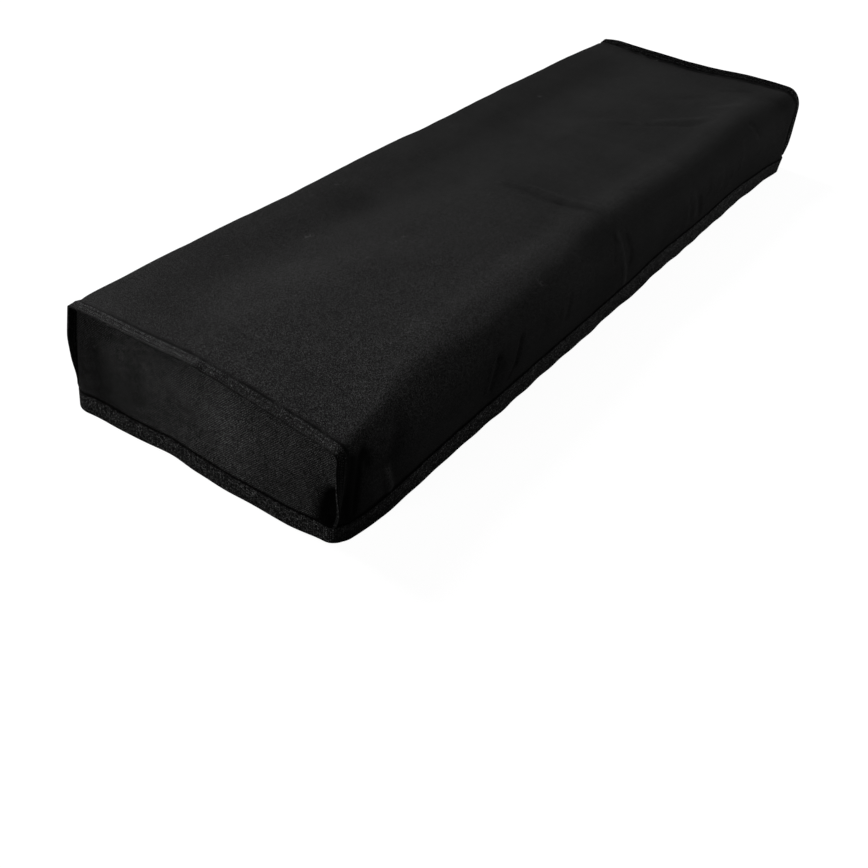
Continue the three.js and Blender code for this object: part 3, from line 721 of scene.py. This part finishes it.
def panel_row(end, top, foot, fall):
    """A row of an end panel, a share of the way from its seam to the hem, and the shade painted on it: in its
    folds, in a line just above the hem and one just below the seam.
    """
    drop = np.linalg.norm(top - foot, axis=1)
    point = blend(top, foot, fall)
    climb = np.clip((point[:, 2] - foot[:, 2]) / (TOP_HEIGHT - foot[:, 2]), 0, 1)
    plain = end.x + (foot[:, 0] - end.x) * (1 - climb) ** DRAW_IN
    drawn = np.minimum(drop / PANEL_REACH, 1) * min(fall * 2, 1)
    point[:, 0] = blend(point[:, 0], plain, drawn)
    above_hem, below_seam = above_hem_of(point), drop * fall
    shade = fold_sum(end.folds, point, SHADE_COLUMN) * smooth_step(drop, 2, 14)
    shade += 0.9 * np.exp(-((above_hem / 1.6) ** 2)) + 0.16 * np.exp(-above_hem / 9)
    shade += 0.15 * np.exp(-((below_seam / 3) ** 2))
    rise = fold_sum(end.folds, point, RISE_COLUMN)
    rise += 0.9 * soft_waves(point, *PANEL_WAVES) + 0.25 * soft_waves(point, *PANEL_SMALL_WAVES)
    upright = point * (1, 1, 0.2)
    rise += 0.5 * soft_waves(upright, *PANEL_HEM_PUCKERS) * np.exp(-above_hem / 12)
    rise += 0.5 * soft_waves(upright, *PANEL_SEAM_PUCKERS) * np.exp(-below_seam / 14)
    held = min(fall * 6, (1 - fall) * 6, 1)
    point[:, 0] += end.way * rise * held * smooth_step(drop, 2, 30)
    return point, shade


def make_end_panel(end, material):
    """The cloth that closes one end, with its edge lying in the bound seam."""
    side, shares = MOUTH[end.name], hem_shares(end)
    seam = end_seam(end, SEAM_AROUND)
    top = seam_point(seam, PANEL_SETOUT + CLOTH, -STACK)
    foot = hem_point(side, shares, CLOTH_TOP_OF_HEM)
    rows, shades = zip(*(panel_row(end, top, foot, fall) for fall in PANEL_FALLS))
    reach = seam.width - TAPE - 2 * GAP
    in_seam = [
        ridge_row(seam, blend(PANEL_SETOUT + CLOTH, reach, share_out), share_out, -1)
        for share_out in FLANGE
    ]
    in_hem = [hem_point(side, shares, height) for height in (CLOTH_TOP_OF_HEM / 2, CLOTH_FOOT)]
    outer = np.array([*in_seam, *rows, *in_hem])
    flange = len(FLANGE)
    beside = np.full(len(shares), FLANGE_SHADE)
    shade = np.array([beside] * flange + list(shades) + [beside] * len(in_hem))
    outer = soften(outer.transpose(1, 0, 2), flange).transpose(1, 0, 2)
    facing = grid_facing(outer)
    if facing[..., 0].mean() * end.way < 0:
        facing = -facing
    thin = blend(FLANGE_CLOTH, CLOTH, flange_narrowing(FLANGE))
    thickness = np.concatenate([thin, np.full(len(outer) - flange, CLOTH)])
    inner = outer - thickness[:, None, None] * facing
    length = running_length(outer[:, len(SEAM_AROUND) // 2])
    pattern = outer[..., 1:] * MM
    pattern[:flange, :, 1] += (length[flange] - length[:flange, None]) * MM
    return closed_sheet(f"end_cloth_{end.name}", outer, inner, pattern, shade, material)


# ---------------------------------------------------------------- bindings

# How far an end binding's cut edge lies from the seam's root, on the wrap's side (1) and on the panel's (-1)
TAPE_SETBACK = {1: 1.8, -1: 3}

# Shares of a binding's leg, from its cut edge (0) to the fold (1), at which it is stitched and has its rows
STITCH_SHARES = (0.4, 0.82)
LEG_SHARES = np.array((
    0, 0.012, 0.04, 0.1, 0.18, 0.26, 0.32, 0.36, 0.4, 0.44,
    0.48, 0.54, 0.6, 0.67, 0.74, 0.78, 0.82, 0.86, 0.93, 1
))

# Share of an end binding's leg from its cut edge (0) to the fold (1), and the shade painted on it there: dark
# lines along its edges and stitch rows, and painted light, negative, on the raised bands between
LEG_SHADE = (
    (0, 0.35), (0.04, -0.25), (0.15, -0.4), (0.26, 0), (0.4, 0.6),
    (0.56, -0.4), (0.7, 0), (0.84, 0.6), (0.93, 0.4), (1, 0.8)
)

# The shade painted on a tape round its fold, and, in an end seam, how far its inner face lies from the seam's
# middle and how thick it is as a share of its full thickness
FOLD_SHADE = 0.1
TAPE_FACE = 0.86
TAPE_LOFT = 0.78


def tape_thickness(shares, stitch_shares, width):
    """The outer face's height over a tape's inner face: rounded at the cut edge and pulled in along each row
    of stitches."""
    height = np.full(len(shares), float(TAPE))
    height[:3] = (0.58, 0.84, 1)
    for row in stitch_shares:
        height -= 0.5 * np.exp(-(((shares - row) / width) ** 2))
    return height


def inner_rise(shares, first, second):
    """The inner face's height over its plain place, which rounds the cut edge."""
    return [first, second] + [0] * (len(shares) - 2)


def end_tape_profile():
    """Rows across an end binding from its edge on the wrap, round the fold, to its edge on the end panel:
    setback, share of the leg, distance from the fold, distance from the seam's middle, and painted shade."""

    def leg(way, rises, shades):
        rows = [
            (TAPE_SETBACK[way], share, 0, way * (TAPE_FACE + rise), dark)
            for share, rise, dark in zip(LEG_SHARES, rises, shades)
        ]
        return rows[::way]

    rises = TAPE_LOFT * tape_thickness(LEG_SHARES, STITCH_SHARES, 0.05)
    shades = read_table(LEG_SHADE, 1, LEG_SHARES)
    inner_rises, plain = inner_rise(LEG_SHARES, 0.36, 0.16), [0] * len(LEG_SHARES)
    outer_fold, inner_fold = [], []
    for angle in np.radians((20, 40, 60, 75, 90, 105, 120, 140, 160)):
        up, across = np.sin(angle), np.cos(angle)
        outer_fold.append((TAPE_SETBACK[1], 1, TAPE * up, (TAPE_FACE + TAPE_LOFT) * across, FOLD_SHADE))
        inner_fold.append((TAPE_SETBACK[1], 1, GAP * up - GAP, TAPE_FACE * across, 0))
    outer = leg(1, rises, shades) + outer_fold + leg(-1, rises, shades)
    return outer, leg(1, inner_rises, plain) + inner_fold + leg(-1, inner_rises, plain)


def leg_reach(seam, setback, share):
    """How far from the seam's root a share of an end binding's leg lies."""
    return blend(np.minimum(setback, seam.width * 0.4), seam.width - TAPE, share)


def end_tape_grid(seam, rows):
    return np.array(
        [
            seam_point(seam, leg_reach(seam, setback, share) + past, towards)
            for setback, share, past, towards, _ in rows
        ]
    )


def tape_painted_shade(end, rows):
    """The shade painted on an end binding, for each row across it: as its profile says, otherwise at the
    front corner on the side turned to the wrap and along the fold, and light painted along the fold at the
    back."""
    corner = smooth_step(3.1 - SEAM_AROUND, 0, 1)
    on_side, on_fold = end.corner_shades
    back = smooth_step(SEAM_AROUND, 4.2, 4.9)
    shade = []
    for _, _, past, towards, dark in rows:
        fold = smooth_step(past, 0.9 * TAPE, TAPE)
        turned = smooth_step(towards, 0, TAPE_FACE) * (1 - fold)
        shade.append(dark + corner * (on_side * turned + on_fold * fold) - 1.2 * back * fold)
    return np.array(shade)


def make_end_binding(end, material):
    """The tape folded over an end seam."""
    seam = end_seam(end, SEAM_AROUND)
    outer_rows, inner_rows = end_tape_profile()
    outer, inner = end_tape_grid(seam, outer_rows), end_tape_grid(seam, inner_rows)
    pattern = flat_places(running_length(seam.root), running_length(outer[:, len(SEAM_AROUND) // 2]))
    shade = tape_painted_shade(end, outer_rows)
    return closed_sheet(f"end_tape_{end.name}", outer, inner, pattern, shade, material)


# The same for the hem tape, with its painted shade and painted light, and how proud of the cloth's outer face
# the middle between its two legs is
HEM_STITCH_SHARE = 0.13
HEM_LEG_SHARES = np.array([0, 0.005, 0.015, 0.05, 0.09, 0.11, 0.13, 0.15, 0.17, 0.25, 0.5, 0.75, 1])
HEM_LEG_SHADE = ((0, 0.8), (0.015, 0.5), (0.06, -0.25), (0.13, 0.15), (0.2, -0.3), (0.5, 0), (1, 0.1))
HEM_MIDDLE = -CLOTH / 2


def hem_profile():
    """Rows across the hem tape from its outer edge, round the fold, to its inner edge: proud, height and
    painted shade."""
    rises = tape_thickness(HEM_LEG_SHARES, (HEM_STITCH_SHARE,), 0.025)
    shades = read_table(HEM_LEG_SHADE, 1, HEM_LEG_SHARES)
    heights = blend(HEM_HEIGHT, TAPE, HEM_LEG_SHARES)
    inner_rises = inner_rise(HEM_LEG_SHARES, 0.45, 0.2)
    outer = [(GAP + rise, height, dark) for rise, height, dark in zip(rises, heights, shades)]
    inner = [(GAP + rise, max(height, TAPE + GAP), 0) for rise, height in zip(inner_rises, heights)]
    reach = -HEM_MIDDLE + GAP + TAPE
    for angle in np.radians((25, 50, 75, 90, 105, 130, 155)):
        down, across = np.sin(angle), np.cos(angle)
        outer.append((HEM_MIDDLE + reach * across, TAPE - TAPE * down, FOLD_SHADE))
        inner.append((HEM_MIDDLE + (reach - TAPE) * across, TAPE + GAP - GAP * down, 0))
    return tuple(
        rows + [(2 * HEM_MIDDLE - proud, height, dark) for proud, height, dark in rows[: len(rises)][::-1]]
        for rows in (outer, inner)
    )


def hem_stations():
    """Places round the hem, from the middle of the back by way of the left end, front and right end."""
    slit = GAP / 2 / MOUTH_LENGTH
    past = WRAP_PAST / MOUTH_LENGTH
    inside = ALONG[1:-1]
    left_half = inside[inside < 0.5 - 2 * slit][::-1]
    right_half = inside[inside > 0.5 + 2 * slit][::-1]
    runs = (
        ("back", [0.5 - slit, *left_half, -past]),
        ("left", hem_shares(LEFT)[3:-3][::-1]),
        ("front", [-past, *inside, 1 + past]),
        ("right", hem_shares(RIGHT)[3:-3]),
        ("back", [1 + past, *right_half, 0.5 + slit]),
    )
    return [(MOUTH[name], np.array(shares)) for name, shares in runs]


def hem_line(stations, height, proud):
    return np.concatenate([hem_point(side, shares, height, proud) for side, shares in stations])


def make_hem_binding(material):
    """The ribbed tape folded over the cut edge all round the mouth. It is painted darker on the front as
    shade, most of all near the left end."""
    stations = hem_stations()
    outer_rows, inner_rows = hem_profile()
    outer, inner = (
        np.array([hem_line(stations, height, proud) for proud, height, _ in rows])
        for rows in (outer_rows, inner_rows)
    )
    along = running_length(outer[len(HEM_LEG_SHARES) // 2])
    pattern = flat_places(along, running_length(np.array(outer_rows)[:, :2]))
    front = [
        (0.7 - 0.52 * smooth_step(shares, 0.02, 0.13) + 0.12 * smooth_step(shares, 0.75, 0.95))
        * (side is MOUTH["front"])
        for side, shares in stations
    ]
    shade = np.array([[row[2]] for row in outer_rows]) + np.concatenate(front)
    return closed_sheet("hem_tape", outer, inner, pattern, shade, material)


# ---------------------------------------------------------------- stitches

STITCH_LENGTH, STITCH_WIDTH, STITCH_HEIGHT = 2.9, 0.55, 0.42
STITCH_PITCH = 3.5
STITCH_SLANT = 0.12


def model_stitch():
    """One stitch of thread lying along X, arched so that its ends go down into the tape."""
    bpy.ops.object.select_all(action="DESELECT")
    bpy.ops.mesh.primitive_uv_sphere_add(segments=6, ring_count=4, radius=0.5)
    stitch = bpy.context.object
    mesh = stitch.data
    points = np.array([vertex.co for vertex in mesh.vertices])[:, [2, 0, 1]]
    points = points * (STITCH_LENGTH, STITCH_WIDTH, STITCH_HEIGHT)
    points[:, 2] -= STITCH_HEIGHT * 1.2 * (points[:, 0] / (STITCH_LENGTH / 2)) ** 2
    faces = [list(polygon.vertices) for polygon in mesh.polygons]
    bpy.data.objects.remove(stitch)
    bpy.data.meshes.remove(mesh)
    return points, faces


def sew(name, seams, material):
    """Rows of stitches along lines on the cloth, each a line of points and the direction it faces at each of
    them."""
    form, form_faces = model_stitch()
    rng = np.random.default_rng(61)
    points, faces = [], []
    for line, facing in seams:
        lengths = running_length(line)
        places = np.arange(STITCH_PITCH, lengths[-1] - STITCH_PITCH, STITCH_PITCH)
        places = places + rng.normal(0, 0.08, len(places))

        def on_line(values, at):
            return np.stack([np.interp(at, lengths, values[:, k]) for k in range(3)], axis=1)

        middle = on_line(line, places)
        along = unit(on_line(line, places + 1) - on_line(line, places - 1))
        up = unit(on_line(facing, places))
        side = unit(np.cross(up, along))
        turn = column_of(STITCH_SLANT + rng.normal(0, 0.03, len(places)))
        forward = along * np.cos(turn) + side * np.sin(turn)
        side = unit(np.cross(up, forward))
        for m, f, s, u in zip(middle, forward, side, up):
            first = len(points) * len(form)
            points.append(m + form[:, :1] * f + form[:, 1:2] * s + form[:, 2:] * u)
            faces += [[first + i for i in face] for face in form_faces]
    piece = link_piece(name, (np.concatenate(points) * MM).tolist(), faces, material)
    piece.data.shade_smooth()
    return piece


def sew_end(end, material):
    """Two rows through each end binding, seen on both of its faces."""
    seam = end_seam(end, SEAM_AROUND)
    seams = []
    for share in STITCH_SHARES:
        for way, setback in TAPE_SETBACK.items():
            line = seam_point(seam, leg_reach(seam, setback, share), way * (TAPE_FACE + TAPE_LOFT - 0.28))
            seams.append((line, way * seam.towards))
    return sew(f"end_stitches_{end.name}", seams, material)


def sew_hem(material):
    """One row near the hem tape's upper edge, seen outside and inside."""
    stations = hem_stations()
    height = blend(HEM_HEIGHT, TAPE, HEM_STITCH_SHARE)
    seams = []
    for way in (1, -1):
        proud = way * (GAP + TAPE - HEM_MIDDLE - 0.4) + HEM_MIDDLE
        line = hem_line(stations, height, proud)
        further = hem_line(stations, height, proud + way)
        seams.append((line, further - line))
    return sew("hem_stitches", seams, material)


# ---------------------------------------------------------------- finishes

# Brightness of the cloth before it is made uneven, and of lint, the height from which the cloth's roughness
# falls off, and the width of a pair of yarns, in metres
BLACK = 0.014
LINT_TONE = 0.03
NAP_HEIGHT = 0.135
PAIR_PITCH = 0.0015

# Steps that keep the random values of neighbouring rows, and of the warp's and the weft's yarns, apart
ROW_STEP = 131.37
WEFT_STEP = 7000.5


class Value:
    """What a node puts out. Arithmetic on it places Math nodes."""

    def __init__(self, socket):
        self.socket = socket
        self.tree = socket.id_data

    def __add__(self, other):
        return compute("ADD", self, other)

    def __sub__(self, other):
        return compute("SUBTRACT", self, other)

    def __rsub__(self, other):
        return compute("SUBTRACT", other, self)

    def __mul__(self, other):
        return compute("MULTIPLY", self, other)

    def __truediv__(self, other):
        return compute("DIVIDE", self, other)


def feed(value, socket):
    """Links a value to an input, or sets the input to a plain number."""
    if isinstance(value, Value):
        socket.id_data.links.new(value.socket, socket)
    else:
        socket.default_value = value


def feed_all(node, inputs):
    """Feeds some inputs of a node, each a pair of its name or number and its value."""
    for key, value in inputs:
        feed(value, node.inputs[key])


def new_value(tree, kind, output, inputs=()):
    """One output of a new node."""
    node = tree.nodes.new(kind)
    feed_all(node, inputs)
    return Value(node.outputs[output])


def compute(operation, *values):
    """The result of a Math node on values and plain numbers."""
    tree = next(value.tree for value in values if isinstance(value, Value))
    node = tree.nodes.new("ShaderNodeMath")
    node.operation = operation
    feed_all(node, enumerate(values))
    return Value(node.outputs[0])


def mix_values(factor, low, high):
    """low where factor is 0 and high where it is 1."""
    return (high - low) * factor + low


def scaled(place, size):
    """A place divided by a size."""
    node = place.tree.nodes.new("ShaderNodeVectorMath")
    node.operation = "SCALE"
    feed_all(node, [(0, place), ("Scale", compute("DIVIDE", 1.0, size))])
    return Value(node.outputs[0])


def split(place):
    node = place.tree.nodes.new("ShaderNodeSeparateXYZ")
    feed(place, node.inputs[0])
    return [Value(socket) for socket in node.outputs]


def noise(place, scale, detail=2.0, roughness=0.5):
    inputs = [("Vector", place), ("Scale", scale), ("Detail", detail), ("Roughness", roughness)]
    return new_value(place.tree, "ShaderNodeTexNoise", "Fac", inputs)


def white_noise(value):
    node = value.tree.nodes.new("ShaderNodeTexWhiteNoise")
    node.noise_dimensions = "1D"
    feed(value, node.inputs["W"])
    return Value(node.outputs["Value"])


def crossing_value(row_u, row_v):
    """A different value for each pair of rows, between -1 and 1."""
    return white_noise(compute("MULTIPLY_ADD", row_v, ROW_STEP, row_u)) * 2.0 - 1.0


def crown(value):
    """Each whole step of value as a rounded bar, 0 at its sides and 1 along its middle."""
    centred = compute("FRACT", value) * 2.0 - 1.0
    return 1.0 - centred * centred


def make_group(name, numbers, outputs, build):
    """A node group with the input Place, a number of each given name and default, and named outputs, which
    build works out from the inputs."""
    tree = bpy.data.node_groups.new(name, "ShaderNodeTree")
    tree.interface.new_socket("Place", in_out="INPUT", socket_type="NodeSocketVector")
    for label, default in numbers.items():
        socket = tree.interface.new_socket(label, in_out="INPUT", socket_type="NodeSocketFloat")
        socket.default_value = default
    for label in outputs:
        tree.interface.new_socket(label, in_out="OUTPUT", socket_type="NodeSocketFloat")
    given = tree.nodes.new("NodeGroupInput").outputs
    result = tree.nodes.new("NodeGroupOutput").inputs
    values = build(*(Value(given[label]) for label in ("Place", *numbers)))
    for label, value in zip(outputs, values):
        feed(value, result[label])
    return tree


def plain_weave(place, pitch):
    """Yarns crossing over and under. Height is the relief, Yarn a different value for each yarn, Crossing a
    different one for each place where two of them cross, about 0, and Warp 1 where the warp is on top."""
    u, v, _ = split(scaled(place, pitch))
    over_u, over_v = crown(u), crown(v)
    row_u, row_v = compute("FLOOR", u), compute("FLOOR", v)
    warp_up = compute("FLOORED_MODULO", row_u + row_v, 2.0)
    warp = over_u * (over_v * 0.5 + 0.5)
    weft = over_v * (over_u * 0.5 + 0.5)
    height = mix_values(warp_up, weft, warp)
    yarn = mix_values(warp_up, white_noise(row_v + WEFT_STEP), white_noise(row_u))
    return height, yarn, crossing_value(row_u, row_v), warp_up


def cloth_grain(place, size):
    """Uneven tone: a fine grain the size of a few yarns and broad faint clouds, both about 0."""
    fine = noise(scaled(place, size), 1.0, 0.0) * 4.0 - 2.0
    broad = noise(place, 9.0, 3.0, 0.55) * 4.0 - 2.0
    return fine, broad


def lint_and_dust(place, spacing):
    """Sparse pale specks, and short fibres lying every way."""
    place = scaled(place, spacing)
    cells = place.tree.nodes.new("ShaderNodeTexVoronoi")
    feed_all(cells, [("Vector", place), ("Scale", 1.0)])
    size = compute("POWER", split(Value(cells.outputs["Color"]))[0], 3.0) * 0.03
    speck = compute("LESS_THAN", Value(cells.outputs["Distance"]), size)
    line = compute("LESS_THAN", compute("ABSOLUTE", noise(place, 0.8) - 0.5), 0.004)
    fibre = line * compute("GREATER_THAN", noise(place, 1.3, 0.0), 0.74)
    return [compute("MAXIMUM", speck, fibre)]


def ribbed_tape(place, pitch):
    """Cords across the tape, bound by fine yarns along it. Place is along and across the tape. Cord is a
    different value for each cord, and Crossing for each place where a yarn crosses it."""
    along, across, _ = split(scaled(place, pitch))
    across = across * 2.0
    height = crown(across) * 0.2 + crown(along)
    cord = compute("FLOOR", along)
    return height, white_noise(cord), crossing_value(cord, compute("FLOOR", across))


def edge_wear(place, fold, width):
    """Wear along a fold: 1 on the line across the tape at Fold and 0 beyond Width, broken up unevenly."""
    away = compute("ABSOLUTE", split(place)[1] - fold)
    near = compute("MAXIMUM", 1.0 - away / width, 0.0)
    return [near * (noise(place, 160.0, 3.0, 0.6) * 1.6 - 0.2)]


def use(group, place, **numbers):
    """Places a node group in a material, and gives its outputs by name."""
    node = place.tree.nodes.new("ShaderNodeGroup")
    node.node_tree = group
    feed_all(node, [("Place", place), *numbers.items()])
    return {socket.name: Value(socket) for socket in node.outputs}


def start_material(name, specular):
    """A new material with a Principled surface."""
    material = bpy.data.materials.new(name)
    material.use_nodes = True
    surface = material.node_tree.nodes["Principled BSDF"]
    surface.inputs["Specular IOR Level"].default_value = specular
    return material, surface


def flat_place(surface):
    """The place on the flat cloth."""
    node = surface.id_data.nodes.new("ShaderNodeUVMap")
    node.uv_map = "cloth"
    return Value(node.outputs["UV"])


def place_in_space(surface):
    """The place in the piece's own space, in metres."""
    return new_value(surface.id_data, "ShaderNodeTexCoord", "Object")


def speckled(shade, amount, grain):
    """A brightness broken up by grain, which looks as much lighter as darker."""
    return shade * compute("POWER", compute("MAXIMUM", grain * amount + 1.0, 0.15), 2.2)


def with_painted_shade(surface, shade):
    """A brightness with the sheet's own painted shade laid on it: darker where shade is painted, lighter
    where light is painted.
    """
    node = surface.id_data.nodes.new("ShaderNodeAttribute")
    node.attribute_name = "painted_shade"
    return shade * compute("MAXIMUM", 1.0 - Value(node.outputs["Fac"]), 0.03)


def tone(surface, brightness):
    """Sets a grey base colour."""
    colour = new_value(surface.id_data, "ShaderNodeCombineColor", 0, [(at, brightness) for at in range(3)])
    feed(colour, surface.inputs["Base Color"])


def relief(surface, height, depth, strength):
    inputs = [("Distance", depth), ("Strength", strength), ("Height", height)]
    feed(new_value(surface.id_data, "ShaderNodeBump", "Normal", inputs), surface.inputs["Normal"])


def roughest_near(space, x, y, reach, least, fall):
    """1 at one place on the top, falling to a least value well away from it, and with a fall down the walls
    too."""
    at_x, at_y, at_z = split(space)
    off_x, off_y, down = at_x - x, at_y - y, (at_z - NAP_HEIGHT) * fall
    away = compute("SQRT", off_x * off_x + off_y * off_y + down * down)
    return compute("MAXIMUM", compute("EXPONENT", away / -reach), least)


def under_lint(groups, space, brightness):
    """A brightness with lint lying over it."""
    lint = use(groups.lint, space, Spacing=0.03)
    return mix_values(lint["Mask"], brightness, LINT_TONE)


def cloth_material(name, groups, black, fine, pitch, nap, pairs=0.0):
    """Black woven cloth: plain weave in tone and relief, grain, faint clouds, and lint. nap is the place
    where the cloth is roughest, how far the roughness reaches, how much of it is left elsewhere, and its fall
    down the walls. pairs is how much the pairs of yarns that cross together differ in tone."""
    material, surface = start_material(name, 0.04)
    flat, space = flat_place(surface), place_in_space(surface)
    weave = use(groups.weave, flat, Pitch=pitch)
    grain = use(groups.grain, space, Size=0.00054)
    shade = weave["Height"] * 0.7 + weave["Yarn"] * 0.3 + grain["Broad"] * 0.16 + 0.55
    specks = weave["Crossing"] * 0.8 + grain["Fine"]
    if pairs:
        paired = use(groups.weave, flat, Pitch=PAIR_PITCH)
        specks = specks + (paired["Warp"] * 2.0 - 1.0) * pairs
    shade = with_painted_shade(surface, speckled(shade, roughest_near(space, *nap) * fine, specks))
    tone(surface, under_lint(groups, space, shade * black))
    feed(0.8 - weave["Height"] * 0.1, surface.inputs["Roughness"])
    relief(surface, weave["Height"], 0.00022, 0.5)
    return material


def tape_material(name, groups, black, fine, pitch, fold, fold_width, shine=0.05):
    """Black ribbed tape with a light worn line along its fold, grain, and lint."""
    material, surface = start_material(name, shine)
    flat, space = flat_place(surface), place_in_space(surface)
    ribs = use(groups.ribs, flat, Pitch=pitch)
    grain = use(groups.grain, space, Size=0.001)
    wear_and_glints = use(groups.wear, flat, Fold=fold, Width=fold_width)
    shade = ribs["Height"] * 1.3 + ribs["Cord"] * 0.35 + grain["Broad"] * 0.15 + wear_and_glints["Mask"] * 0.3 + 0.1
    shade = with_painted_shade(surface, speckled(shade, fine, ribs["Crossing"] * 0.6 + grain["Fine"]))
    tone(surface, under_lint(groups, space, shade * black))
    feed(0.75 - ribs["Height"] * 0.12, surface.inputs["Roughness"])
    relief(surface, ribs["Height"], 0.0005, 0.7)
    return material


def thread_material(groups):
    """Black thread, a little glossier than the cloth, with painted highlights on some stitches and its twist
    as fine relief.
    """
    material, surface = start_material("black thread", 0.15)
    space = place_in_space(surface)
    grain = use(groups.grain, space, Size=0.0005)
    # Painted highlights: some stitches are painted much brighter, as glints of light on the thread
    wear_and_glints = compute("GREATER_THAN", noise(space, 260.0, 0.0), 0.66)
    shade = compute("MAXIMUM", grain["Fine"] * 0.3 + wear_and_glints * 1.6 + 1.0, 0.2)
    tone(surface, shade * 0.026)
    surface.inputs["Roughness"].default_value = 0.5
    relief(surface, grain["Fine"], 0.00005, 0.5)
    return material


# ---------------------------------------------------------------- making the cover

aim_camera()
light_studio()
lay_floor()

groups = SimpleNamespace(
    weave=make_group("plain weave", {"Pitch": 0.001}, ("Height", "Yarn", "Crossing", "Warp"), plain_weave),
    grain=make_group("cloth grain", {"Size": 0.002}, ("Fine", "Broad"), cloth_grain),
    lint=make_group("lint and dust", {"Spacing": 0.02}, ("Mask",), lint_and_dust),
    ribs=make_group("ribbed tape", {"Pitch": 0.002}, ("Height", "Cord", "Crossing"), ribbed_tape),
    wear=make_group("edge wear", {"Fold": 0.01, "Width": 0.001}, ("Mask",), edge_wear),
)
wrap_nap = (-0.66, -0.2, 0.36, 0.05, 5)
end_nap = (-0.66, -0.06, 0.5, 0.3, 0)
wrap_finish = cloth_material("wrap cloth", groups, BLACK * 0.91, fine=1.2, pitch=0.0009, nap=wrap_nap)
# The end cloth is set darker than the wrap cloth, as painted shade on the ends
end_finish = cloth_material(
    "end cloth", groups, BLACK * 0.76, fine=1.35, pitch=0.0008, nap=end_nap, pairs=0.75
)
end_tape = {"pitch": 0.0022, "fold": 0.0117, "fold_width": 0.0012}
left_tape_finish = tape_material("left end tape", groups, BLACK * 0.52, fine=0.8, **end_tape)
# The right end's tape is the left's tape made far darker and less glossy: painted shade on the far end
shaded_right_tape_finish = tape_material("right end tape in painted shade", groups, BLACK * 0.06, fine=1.8, shine=0.015, **end_tape)
hem_tape_finish = tape_material(
    "hem tape", groups, BLACK * 0.5, fine=1.5, pitch=0.0026, fold=0.0245, fold_width=0.0015
)
thread_finish = thread_material(groups)

pieces = {"wrap_panel": make_wrap(wrap_finish)}
for end in (LEFT, RIGHT):
    pieces[f"end_panel_{end.name}"] = make_end_panel(end, end_finish)
    finish = left_tape_finish if end is LEFT else shaded_right_tape_finish
    pieces[f"end_binding_{end.name}"] = make_end_binding(end, finish)
pieces["hem_binding"] = make_hem_binding(hem_tape_finish)
stitches = {
    "end_binding_left": sew_end(LEFT, thread_finish),
    "end_binding_right": sew_end(RIGHT, thread_finish),
    "hem_binding": sew_hem(thread_finish),
}

for node, piece in pieces.items():
    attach(piece, "root")
    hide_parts(node)
for piece in stitches.values():
    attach(piece, "root")
